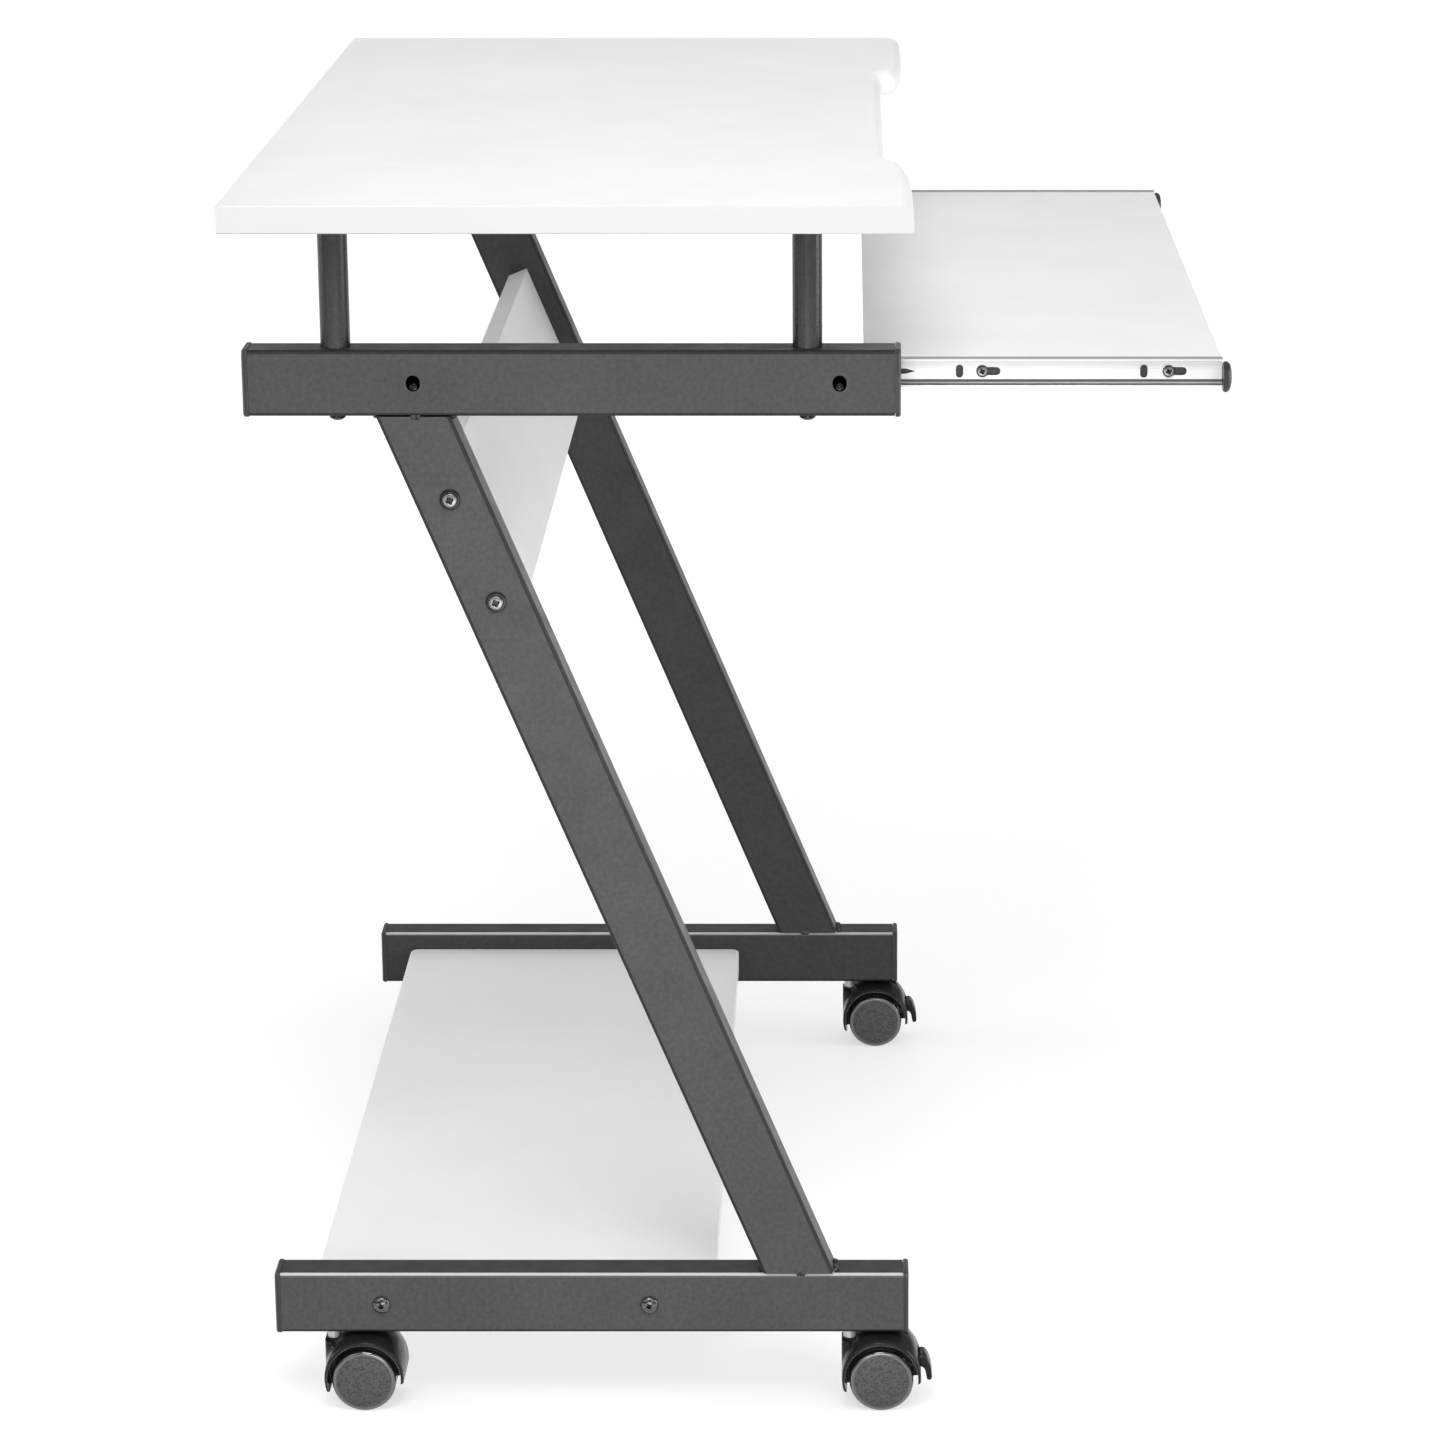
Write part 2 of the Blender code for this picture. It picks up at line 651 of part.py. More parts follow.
def recess_tool(name, x, y, z, side, half):
    """Cross-shaped driver recess, turned a little, for a screw head whose top is at x."""
    arm = RECESS_ARM
    cross = (
        (half, -arm), (half, arm), (arm, arm), (arm, half), (-arm, half), (-arm, arm),
        (-half, arm), (-half, -arm), (-arm, -arm), (-arm, -half), (arm, -half), (arm, -arm),
    )
    outline = []
    for a, b in cross:
        turned_y = a * math.cos(RECESS_TURN) - b * math.sin(RECESS_TURN)
        turned_z = a * math.sin(RECESS_TURN) + b * math.cos(RECESS_TURN)
        outline.append((y + turned_y, z + turned_z))
    bm = bmesh.new()
    extrude_x(bm, outline, x - side * RECESS_DEPTH, x + side * CUT)
    return make_tool(name, bm)


def build_screw(name, side, y, z, head, recess):
    """Screw that stands on the tube's outer wall and runs through the tube into the board's end."""
    seat = FRAME_X + TUBE_WIDTH / 2 + GAP
    tip = seat - SHANK_LENGTH
    profile = [(0.0, tip), (SHANK_POINT, tip), (SHANK_RADIUS, tip + SHANK_TAPER), (SHANK_RADIUS, seat)]
    profile += [(radius, seat + height) for radius, height in head]
    bm = bmesh.new()
    revolve(bm, profile, (0.0, y, z), (side, 0, 0), SCREW_SIDES)
    screw = make_object(name, bm, "dark_screw")
    top = side * profile[-1][1]
    cut(screw, recess_tool(f"{name}_recess", top, y, z, side, recess))


def build_screws(side_name, side):
    """Screws of the back panel and the bottom shelf on one side."""
    for level, z in PANEL_SCREW_ZS.items():
        name = f"panel_screw_{side_name}_{level}"
        build_screw(name, side, leg_centre_y(z), z, PANEL_HEAD, PANEL_RECESS)
    for end, y in SHELF_SCREW_YS.items():
        name = f"shelf_screw_{side_name}_{end}"
        build_screw(name, side, y, SHELF_TOP_Z - BOARD_THICK / 2, SHELF_HEAD, SHELF_RECESS)


# -------------------------------------------------------------- keyboard tray


def build_tray():
    """Keyboard board."""
    bm = bmesh.new()
    low = (-TRAY_HALF, TRAY_FRONT_Y, TRAY_TOP_Z - BOARD_THICK)
    high = (TRAY_HALF, TRAY_BACK_Y, TRAY_TOP_Z)
    box(bm, low, high)
    soften(bm, BOARD_EDGE)
    make_object("keyboard_tray", bm, "white_board")


def channel_outline(web_x, direction, height, flange, sheet):
    """(x, z) outline of a C-shaped channel whose flanges point in a direction along x."""
    half = height / 2
    tip = web_x + direction * flange
    inner = web_x + direction * sheet
    return (
        (web_x, -half), (tip, -half), (tip, -half + sheet), (inner, -half + sheet),
        (inner, half - sheet), (tip, half - sheet), (tip, half), (web_x, half),
    )


def channel_bmesh(outline, low_y, high_y):
    """Channel section running along y at the slides' height."""
    bm = bmesh.new()
    ends = []
    for y in (low_y, high_y):
        ends.append([(x, y, SLIDE_Z + z) for x, z in outline])
    loft(bm, ends)
    return bm


def side_punch(bm, outline, side, x):
    """Punches a (y, z) outline sideways through a channel's web."""
    extrude_x(bm, outline, side * (x - CUT), side * (x + SLIDE_SHEET + CUT))


def slide_punches(side):
    """Slots and keyholes in the moving channel's web."""
    bm = bmesh.new()
    x = TRAY_HALF + GAP
    for y in OVAL_SLOT_YS:
        slot = rounded_rectangle(OVAL_SLOT_WIDTH, OVAL_SLOT_HEIGHT, OVAL_SLOT_CORNER, 4)
        side_punch(bm, [(y + a, SLIDE_Z + b) for a, b in slot], side, x)
    for y in KEYHOLE_YS:
        side_punch(bm, keyhole_outline(y), side, x)
    shoulder = LANCE_TIP_Y + LANCE_POINT
    lance = (
        (LANCE_TIP_Y, SLIDE_Z),
        (shoulder, SLIDE_Z - LANCE_HALF),
        (LANCE_BACK_Y, SLIDE_Z - LANCE_HALF),
        (LANCE_BACK_Y, SLIDE_Z + LANCE_HALF),
        (shoulder, SLIDE_Z + LANCE_HALF),
    )
    side_punch(bm, lance, side, x)
    return bm


def keyhole_outline(y):
    """Round hole with a narrower slot running forward from it."""
    points = []
    spread = KEYHOLE_SPREAD
    for i in range(13):
        angle = -math.pi + spread + (2 * math.pi - 2 * spread) * i / 12
        points.append((y + KEYHOLE_RADIUS * math.cos(angle), SLIDE_Z + KEYHOLE_RADIUS * math.sin(angle)))
    slot = KEYHOLE_RADIUS * math.sin(spread)
    for i in range(7):
        angle = math.pi / 2 + math.pi * i / 6
        end = y - KEYHOLE_LENGTH + slot
        points.append((end + slot * math.cos(angle), SLIDE_Z + slot * math.sin(angle)))
    return points


def build_slides(side_name, side):
    """Fixed channel on the upper rail and the moving channel on the tray's edge."""
    web = side * (TRAY_HALF + GAP)
    outline = channel_outline(web, side, MOVING_HEIGHT, MOVING_FLANGE, SLIDE_SHEET)
    bm = channel_bmesh(outline, TRAY_FRONT_Y, TRAY_FRONT_Y + SLIDE_LENGTH)
    moving = make_object(f"tray_slide_moving_{side_name}", bm, "zinc_steel")
    cut(moving, make_tool(f"slide_punches_{side_name}", slide_punches(side)))
    outline = channel_outline(side * INNER_HALF, -side, FIXED_HEIGHT, FIXED_FLANGE, SLIDE_SHEET)
    bm = channel_bmesh(outline, FIXED_FRONT_Y, FIXED_FRONT_Y + SLIDE_LENGTH)
    make_object(f"tray_slide_fixed_{side_name}", bm, "zinc_steel")
    build_bumper(side_name, side)


def build_bumper(side_name, side):
    """Domed stop on the front end of the slide; it meets the rail's cap when the tray is in."""
    bm = bmesh.new()
    centre = (side * BUMPER_X, TRAY_FRONT_Y, BUMPER_Z)
    revolve(bm, BUMPER_PROFILE, centre, (0, -1, 0), BUMPER_SIDES)
    make_object(f"tray_bumper_{side_name}", bm, "black_plastic")


# -------------------------------------------------------------------- casters


def oval_reach(angle, rise, power):
    """Distance from the hood's centre to an oval skin at an angle."""
    across = abs(math.cos(angle)) / HOOD_REACH
    up = abs(math.sin(angle)) / rise
    return (across**power + up**power) ** (-1.0 / power)


def boss_reach(angle):
    """Distance from the hood's centre to the block round the stem."""
    back = (AXLE_AHEAD + BOSS_BACK) / max(-math.cos(angle), SMALL)
    top = (BOSS_TOP_Z - HOOD_Z) / max(math.sin(angle), SMALL)
    return min(back, top)


def hood_reach(angle, x):
    """Distance from the hood's centre to its outer skin at an angle and a sideways position."""
    side = oval_reach(angle, HOOD_SIDE_RISE, HOOD_SIDE_POWER)
    crown = oval_reach(angle, HOOD_CROWN_RISE, HOOD_CROWN_POWER)
    reach = side + (crown - side) * (1 - (x / HOOD_HALF) ** 2)
    boss_start = math.pi - math.atan2(BOSS_TOP_Z - HOOD_Z, AXLE_AHEAD - BOSS_FRONT)
    blend = min(max((BOSS_END_X - abs(x)) / (BOSS_END_X - BOSS_FULL_X), 0.0), 1.0)
    if angle < boss_start or math.sin(angle) < 0.0:
        blend = 0.0
    return reach * (1 - blend) + boss_reach(angle) * blend


def hood_angles():
    """Angles round the hood, closer together at the stem's block."""
    boss_start = math.pi - math.atan2(BOSS_TOP_Z - HOOD_Z, AXLE_AHEAD - BOSS_FRONT)
    boss_corner = math.pi - math.atan2(BOSS_TOP_Z - HOOD_Z, AXLE_AHEAD + BOSS_BACK)
    angles = []
    for start, end, steps in (
        (HOOD_FRONT_TIP, boss_start - BOSS_STEP, 14),
        (boss_start, boss_corner, 2),
        (boss_corner + BOSS_CORNER_STEP, math.pi, 4),
        (math.pi + BOSS_STEP, HOOD_REAR_TIP, 3),
    ):
        angles += [start + (end - start) * i / steps for i in range(steps + 1)]
    return angles


def hood_bmesh(x, y):
    """Solid hood before the wheel wells are cut. The stem stands at (x, y)."""
    bm = bmesh.new()
    rows = [(HOOD_HALF - inward, drop) for inward, drop in HOOD_LIP]
    rows += [(offset, 0.0) for offset in (HOOD_SHOULDER_X, BOSS_END_X, BOSS_FULL_X)]
    rows += [(-row, inset) for row, inset in reversed(rows)]
    loops = []
    for offset, inset in rows:
        loop = []
        for angle in hood_angles():
            reach = hood_reach(angle, offset) - inset
            ahead = AXLE_AHEAD + reach * math.cos(angle)
            loop.append((x + offset, y - ahead, HOOD_Z + reach * math.sin(angle)))
        loops.append(loop)
    loft(bm, loops)
    return bm


def wheel_wells_bmesh(x, y):
    """Two wheel wells that leave the middle web, the hubs and the axle stubs standing."""
    bm = bmesh.new()
    mouth = HOOD_HALF + CUT
    profile = (
        (0.0, AXLE_HALF, AXLE_Z),
        (AXLE_RADIUS, AXLE_HALF, AXLE_Z),
        (AXLE_RADIUS, WHEEL_INNER - GAP, AXLE_Z),
        (HUB_RADIUS, WHEEL_INNER - GAP, AXLE_Z),
        (HUB_RADIUS, WEB_HALF, AXLE_Z),
        (CAVITY_RADIUS, WEB_HALF, HOOD_Z),
        (CAVITY_RADIUS, mouth, HOOD_Z),
        (0.0, mouth, HOOD_Z),
    )
    for _, side in SIDES:
        loops = []
        for radius, along, height in profile:
            loop = []
            for i in range(WELL_SEGMENTS if radius else 1):
                angle = 2 * math.pi * (i + 0.5) / WELL_SEGMENTS
                ahead = AXLE_AHEAD - radius * math.cos(angle)
                loop.append((x + side * along, y - ahead, height + radius * math.sin(angle)))
            loops.append(loop)
        loft(bm, loops)
    return bm


def build_hood(name, x, y, braked):
    """Caster hood: wheel wells, a socket for the stem and, with a brake, a pocket for the lever."""
    hood = make_object(name, hood_bmesh(x, y), "black_plastic", (x, y, BOSS_TOP_Z))
    cut(hood, make_tool(f"{name}_wells", wheel_wells_bmesh(x, y)))
    socket = bmesh.new()
    upright_bore(socket, x, y, STEM_FOOT_Z - GAP, BOSS_TOP_Z + CUT, STEM_SHANK_RADIUS + GAP)
    if braked:
        half = LEVER_HALF + LEVER_ROOM
        front = y - LEVER_PIVOT_AHEAD - POCKET_FRONT
        back = y - LEVER_PIVOT_AHEAD + POCKET_BACK
        box(socket, (x - half, front, POCKET_LOW_Z), (x + half, back, POCKET_HIGH_Z))
    cut(hood, make_tool(f"{name}_socket", socket))


def build_stem(name, x, y):
    """Steel stem: shank in the hood, collar under the rail, thread through the rail's wall."""
    under_rail = LOWER_RAIL_Z - TUBE_HEIGHT / 2 - GAP
    profile = (
        (0.0, STEM_FOOT_Z),
        (STEM_SHANK_RADIUS, STEM_FOOT_Z),
        (STEM_SHANK_RADIUS, BOSS_TOP_Z + GAP),
        (STEM_COLLAR_RADIUS, BOSS_TOP_Z + GAP),
        (STEM_COLLAR_RADIUS, under_rail),
        (STEM_THREAD_RADIUS, under_rail),
        (STEM_THREAD_RADIUS, STEM_HEAD_Z - STEM_CHAMFER),
        (STEM_THREAD_RADIUS - STEM_CHAMFER, STEM_HEAD_Z),
        (0.0, STEM_HEAD_Z),
    )
    bm = bmesh.new()
    revolve(bm, profile, (x, y, 0.0), (0, 0, 1), SCREW_SIDES)
    make_object(name, bm, "zinc_steel")


def build_wheel(name, x, y, side):
    """One wheel: blind bore on its inner side, slightly domed face on its outer side."""
    profile = (
        (0.0, AXLE_HALF + GAP),
        (WHEEL_BORE, AXLE_HALF + GAP),
        (WHEEL_BORE, WHEEL_INNER),
        (WHEEL_RADIUS - WHEEL_CHAMFER, WHEEL_INNER),
        (WHEEL_RADIUS, WHEEL_INNER + WHEEL_CHAMFER),
        (WHEEL_RADIUS, WHEEL_OUTER - WHEEL_DOME - WHEEL_ROUND),
        (WHEEL_RADIUS - WHEEL_ROUND, WHEEL_OUTER - WHEEL_DOME),
        (0.0, WHEEL_OUTER),
    )
    bm = bmesh.new()
    axle = (x, y - AXLE_AHEAD, AXLE_Z)
    revolve(bm, profile, axle, (side, 0, 0), WHEEL_SEGMENTS)
    make_object(name, bm, "wheel_plastic", axle)


def build_lever(name, x, y):
    """Brake lever: a bent tab that turns on a pin inside the front of the hood."""
    outline = list(LEVER_OUTLINE)
    for i in range(7):
        angle = math.radians(-60 - 30 * i)
        outline.append((LEVER_PIVOT_RADIUS * math.cos(angle), LEVER_PIVOT_RADIUS * math.sin(angle)))
    bm = bmesh.new()
    points = [(y - LEVER_PIVOT_AHEAD - ahead, LEVER_PIVOT_Z + up) for ahead, up in outline]
    extrude_x(bm, points, x - LEVER_HALF, x + LEVER_HALF)
    soften(bm, LEVER_EDGE)
    make_object(name, bm, "black_plastic", (x, y - LEVER_PIVOT_AHEAD, LEVER_PIVOT_Z))


def build_casters(side_name, side):
    """Rear caster and braked front caster under one side frame."""
    x = side * FRAME_X
    for end, y in CASTER_YS.items():
        where = f"{side_name}_{end}"
        braked = end == "front"
        build_hood(f"caster_hood_{where}", x, y, braked)
        build_stem(f"caster_stem_{where}", x, y)
        build_wheel(f"caster_wheel_{where}_outer", x, y, side)
        build_wheel(f"caster_wheel_{where}_inner", x, y, -side)
        if braked:
            build_lever(f"brake_lever_{side_name}", x, y)


def main():
    clear_scene()
    build_desktop()
    build_shelf()
    build_back_panel()
    build_tray()
    for side_name, side in SIDES:
        build_upper_rail(side_name, side)
        build_lower_rail(side_name, side)
        build_leg(side_name, side)
        build_posts(side_name, side)
        build_screws(side_name, side)
        build_slides(side_name, side)
        build_casters(side_name, side)


main()
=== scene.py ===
"""Mobile computer desk with a pull-out keyboard tray: finishes, small parts, light and camera.

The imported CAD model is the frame. Units are metres, +Z is up and the user sits on the -Y side.
"""

import math
import random

import bmesh
import bpy
from mathutils import Matrix, Vector


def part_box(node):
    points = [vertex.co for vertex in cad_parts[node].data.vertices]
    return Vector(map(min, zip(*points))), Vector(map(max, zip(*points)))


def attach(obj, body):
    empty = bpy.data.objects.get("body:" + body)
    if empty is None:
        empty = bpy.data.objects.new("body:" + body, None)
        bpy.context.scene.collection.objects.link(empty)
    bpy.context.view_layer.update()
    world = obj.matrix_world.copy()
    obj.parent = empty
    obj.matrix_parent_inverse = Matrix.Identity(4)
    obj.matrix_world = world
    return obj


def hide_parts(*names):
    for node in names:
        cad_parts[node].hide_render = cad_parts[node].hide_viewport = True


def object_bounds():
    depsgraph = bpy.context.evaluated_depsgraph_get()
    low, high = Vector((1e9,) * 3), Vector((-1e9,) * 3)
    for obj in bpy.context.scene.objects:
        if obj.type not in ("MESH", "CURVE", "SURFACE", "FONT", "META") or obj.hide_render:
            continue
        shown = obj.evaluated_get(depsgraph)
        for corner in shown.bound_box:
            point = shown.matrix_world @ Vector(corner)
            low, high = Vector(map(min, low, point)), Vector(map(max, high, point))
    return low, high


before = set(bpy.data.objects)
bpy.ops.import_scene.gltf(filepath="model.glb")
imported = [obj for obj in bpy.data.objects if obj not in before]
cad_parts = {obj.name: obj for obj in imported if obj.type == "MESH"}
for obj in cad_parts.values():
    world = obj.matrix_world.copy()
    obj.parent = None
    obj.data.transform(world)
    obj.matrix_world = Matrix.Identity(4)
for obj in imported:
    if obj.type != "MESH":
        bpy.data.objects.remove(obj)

CAD_LOW, CAD_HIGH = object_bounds()
SIDES = (("left", -1), ("right", 1))
ENDS = ("rear", "front")
LEVELS = ("upper", "lower")
SEED = 11

# Camera: the desk is seen from its left side, a little from above
CAMERA_AT = Vector((-2.930, -0.0684, 1.1993))
CAMERA_TILT = math.radians(16.1)
CAMERA_LENS = 110.25
CAMERA_SHIFT_X = -0.0870
SENSOR_WIDTH = 36.0

# Light
SKY_COLOUR = (1.0, 1.0, 1.0)
SKY_STRENGTH = 0.33
FLOOR_HALF = 30.0
BACKDROP_RADIUS = 29.0
BACKDROP_HEIGHT = 20.0
BACKDROP_GLOW = 0.90
FLOOR_GLOW_NEAR = 0.57
FLOOR_GLOW_FAR = 0.86
FLOOR_GLOW_START = 0.2
FLOOR_GLOW_END = 4.0
SOFT_BOXES = (
    ("key_light", (-1.6, 0.1, 2.3), (0.0, 0.0, 0.5), (1.0, 1.0), 24.0),
    ("front_left_light", (-1.9, -1.3, 1.7), (0.0, 0.0, 0.45), (1.5, 1.5), 10.0),
    ("rear_left_light", (-1.9, 1.5, 1.5), (0.0, 0.0, 0.45), (1.5, 1.5), 9.0),
    ("front_light", (-0.3, -2.6, 0.9), (0.0, 0.0, 0.5), (1.3, 1.3), 36.0),
    ("rear_light", (0.3, 2.8, 1.1), (0.0, 0.0, 0.3), (1.4, 1.4), 30.0),
    ("low_light", (-1.5, 0.0, 0.14), (-0.3, 0.0, 0.12), (0.6, 0.4), 5.0),
    ("top_light", (0.0, 0.1, 2.8), (0.0, 0.0, 0.0), (2.2, 2.2), 8.5),
    ("far_light", (2.4, 0.0, 1.8), (0.0, 0.0, 0.4), (1.4, 1.4), 5.5),
)

# Mesh making
SHARP_ANGLE = math.radians(32)
WELD_DISTANCE = 0.000005
OVERSHOOT = 0.002  # how far a cutting shape runs past a face
SCREW_SIDES = 40
WHEEL_SIDES = 96
BACKDROP_SIDES = 96

# Screws
RECESS_TURN = math.radians(22)
RECESS_TIP = 0.62  # half width of a recess wing at its tip, as a share of its arm
RECESS_ROOT = 1.25  # where two wings meet, as a share of the arm
RECESS_TAPER = 0.45
RECESS_LIP = 0.3  # share of a recess's depth that stays as bright as the head; deeper down, the recess takes painted shade
PANEL_RECESS = (0.0037, 0.0015, 0.0018)  # reach, arm and depth
SHELF_RECESS = (0.0027, 0.0013, 0.0018)
TRAY_RECESS = (0.0031, 0.0012, 0.0012)
BOLT_RECESS = (0.0021, 0.0005, 0.0011)
PANEL_SHADE_RING_TOP = 0.0029  # a head takes black painted shadow up to this height
SHELF_SHADE_RING_TOP = 0.0006
TRAY_SHADE_RING_TOP = 0.0003
PANEL_HEAD_HEIGHT = 0.0036
SHELF_HEAD_LIFT = 0.0002

# Caster hood, with the main sizes of the CAD source. Angles run up from the front.
HOOD_Z = 0.0216  # height that the hood's curve is struck from
HOOD_REACH = 0.0252
HOOD_SIDE_RISE = 0.0256
HOOD_CROWN_RISE = 0.0282
HOOD_FRONT_TIP = math.radians(-7)
HOOD_REAR_TIP = math.radians(200)
HOOD_TIP_ROUND = 0.05  # radians
HOOD_TIP_DROP = 0.0005
HOOD_LIP_IN = 0.0026
HOOD_LIP_DROP = 0.00115
HOOD_LIP_STEPS = 6
CAVITY_RADIUS = 0.0234
WEB_HALF = 0.0047
HUB_RADIUS = 0.0046
AXLE_RADIUS = 0.003
AXLE_HALF = 0.0155
CLEARANCE = 0.0003

# The block round the stem, at the back of the hood
BOSS_TOP_Z = 0.0435
BOSS_BACK = 0.0050
BOSS_FRONT = 0.0046
BOSS_FULL_X = 0.0058
BOSS_END_X = 0.0104
SOCKET_RADIUS = 0.0032
SOCKET_FOOT_Z = 0.0302
BESIDE_BOSS = (0.0150, 0.0128, 0.0112)  # rows of the hood's mesh beside the block
ACROSS_BOSS = (BOSS_END_X, 0.0092, 0.0081, 0.0070, BOSS_FULL_X, 0.0030)

# Brake lever, its pocket and the slot above it
LEVER_PIVOT_AHEAD = 0.0417
LEVER_PIVOT_Z = 0.0289
LEVER_HALF = 0.007
LEVER_STEPS = 4  # curve points for each point of the outline
LEVER_OUTLINE = (  # how far ahead of the pin and above it, going round the lever
    (-0.0022, 0.0000), (-0.0014, 0.0019), (0.0008, 0.0028), (0.0030, 0.0041),
    (0.0054, 0.0042), (0.0077, 0.0020), (0.0093, -0.0014), (0.0103, -0.0052),
    (0.0109, -0.0100), (0.0105, -0.0124), (0.0091, -0.0131), (0.0077, -0.0124),
    (0.0071, -0.0098), (0.0065, -0.0068), (0.0053, -0.0046), (0.0032, -0.0036),
    (0.0012, -0.0026), (-0.0012, -0.0020),
)
LEVER_ROUNDING = (  # share of the half width, and how far the outline shrinks there
    (-1.0, 0.0007), (-0.97, 0.00028), (-0.90, 0.00005),
    (0.90, 0.00005), (0.97, 0.00028), (1.0, 0.0007),
)
POCKET_SIDE_GAP = 0.0008
POCKET_AHEAD = 0.012  # the pocket's reach from the pin
POCKET_BEHIND = 0.003
POCKET_BELOW = 0.0054
POCKET_ABOVE = 0.0074
SLOT_HALF = 0.0026
SLOT_ANGLES = (math.radians(54), math.radians(67))
SLOT_FLOOR = 0.0272  # from the hood's centre
SLOT_MOUTH = 0.031

# Wheels
WHEEL_DOME = 0.0012
WHEEL_DOME_STEPS = 9
WHEEL_RIM = 0.0029
WHEEL_BORE = 0.0031
WHEEL_BORE_DEPTH = 0.0105

# Slides and their screws
SLIDE_SHEET = 0.0012
GAP_SHADE_LOW = 0.0020  # a painted shade line for the gap between the slide's members runs along the tray's slides, this far above their lower edge
GAP_SHADE_HIGH = 0.0040
GAP_SHADE_SOFT = 0.0004
KEYHOLE_BACK = (0.1445, 0.0322)  # keyholes behind the front end of the tray's slide
ACCESS_AHEAD = (-0.0944, 0.1595)  # access slots ahead of the upper rail's middle
ACCESS_DROP = 0.0030  # how far the slide's bolt stands below the middle of its access slot
BOLT_SEAT = 0.0036  # how far the bolt's head lies inside the rail's outer face
SHADE_STRIP_NEAR = 0.00008  # the two faces of the dark strip behind the channel's web, which stands in as painted shade seen through the slide's slots
SHADE_STRIP_FAR = 0.00022
SHADE_STRIP_ENDS = (0.012, 0.205)  # behind the front end of the tray's slide
SHADE_STRIP_HALF = 0.0060

# Weld beads
LEG_SLOPE = 0.414
WELD_STATIONS = 25
WELD_SIDES = 12
WELD_PITCH = 0.0019
WELD_RIPPLE = 0.13
WELD_SCATTER = 0.09
WELD_DRIFT = 0.12
WELD_BURIED = 0.0003  # how far a tack's middle lies inside the leg's face
WELD_LIFT = 0.0005
FRONT_BEAD_AHEAD = 0.0005
REAR_BEAD_BEHIND = 0.0004
OUTER_TACK_AT = 0.47  # share of the leg's depth from its front
INNER_TACK_AT = 0.55
WELD_SIZES = {  # length, width and height
    "front": (0.019, 0.0042, 0.0019),
    "rear": (0.017, 0.0034, 0.0017),
    "tack": (0.0062, 0.0016, 0.0017),
}

# Edge band of the boards and the seam beside it, measured in from the board's ends
BAND_THICK = 0.0009
BAND_SOFT = 0.0002
SEAM_START = 0.0011
SEAM_SOFT = 0.0001

# Painted shade and painted corner lines on the tubes, as shares of the dark painted-shade colour
INNER_SHADE = 0.45
TOP_SHADE = 0.50
LOWER_RAIL_TOP_SHADE = 0.22  # added to TOP_SHADE
UPPER_RAIL_SHADE = 0.16
CORNER_LINE = 0.9

# Finishes, as linear colours
WHITE_LIGHT = (0.860, 0.862, 0.865)
WHITE_DARK = (0.815, 0.817, 0.820)
EDGE_BAND = (0.770, 0.772, 0.775)
SEAM = (0.42, 0.42, 0.42)
PAINT_DARK = (0.070, 0.070, 0.072)
PAINT_LIGHT = (0.100, 0.100, 0.103)
GLOSS_DARK = (0.040, 0.040, 0.041)
GLOSS_LIGHT = (0.056, 0.056, 0.057)
# painted shade on the paint, also the dark painted corner lines
PAINT_SHADE = (0.009, 0.009, 0.0095)
# paler paint on edges: thin paint and a painted highlight
PAINT_WORN_AND_HIGHLIGHT = (0.19, 0.19, 0.193)
# painted highlight along the upper corners of the lower rails
PAINT_HIGHLIGHT = (0.62, 0.62, 0.625)
BLACK_DARK = (0.010, 0.010, 0.011)
BLACK_LIGHT = (0.016, 0.016, 0.017)
# paler plastic on edges: rubbed wear and a painted highlight
PLASTIC_RUBBED_AND_HIGHLIGHT = (0.50, 0.50, 0.504)
RIM_DARK = (0.018, 0.018, 0.0185)
RIM_LIGHT = (0.030, 0.030, 0.031)
WHEEL_DARK = (0.022, 0.022, 0.023)
WHEEL_LIGHT = (0.080, 0.080, 0.081)
ZINC_DARK = (0.72, 0.72, 0.73)
ZINC_LIGHT = (0.86, 0.86, 0.87)
SCREW_DARK = (0.15, 0.15, 0.153)
SCREW_LIGHT = (0.30, 0.30, 0.304)
GUNMETAL_DARK = (0.030, 0.030, 0.031)
GUNMETAL_LIGHT = (0.19, 0.19, 0.193)
BOLT_DARK = (0.010, 0.010, 0.0105)
BOLT_LIGHT = (0.022, 0.022, 0.0225)
# grease, and painted shade and painted shadow lines on the slides
GREASE_AND_SHADE = (0.045, 0.045, 0.043)
FLOOR_COLOUR = (0.50, 0.50, 0.50)
FLOOR_COLOUR_LIGHT = (0.52, 0.52, 0.52)


# ------------------------------------------------------------------ node trees


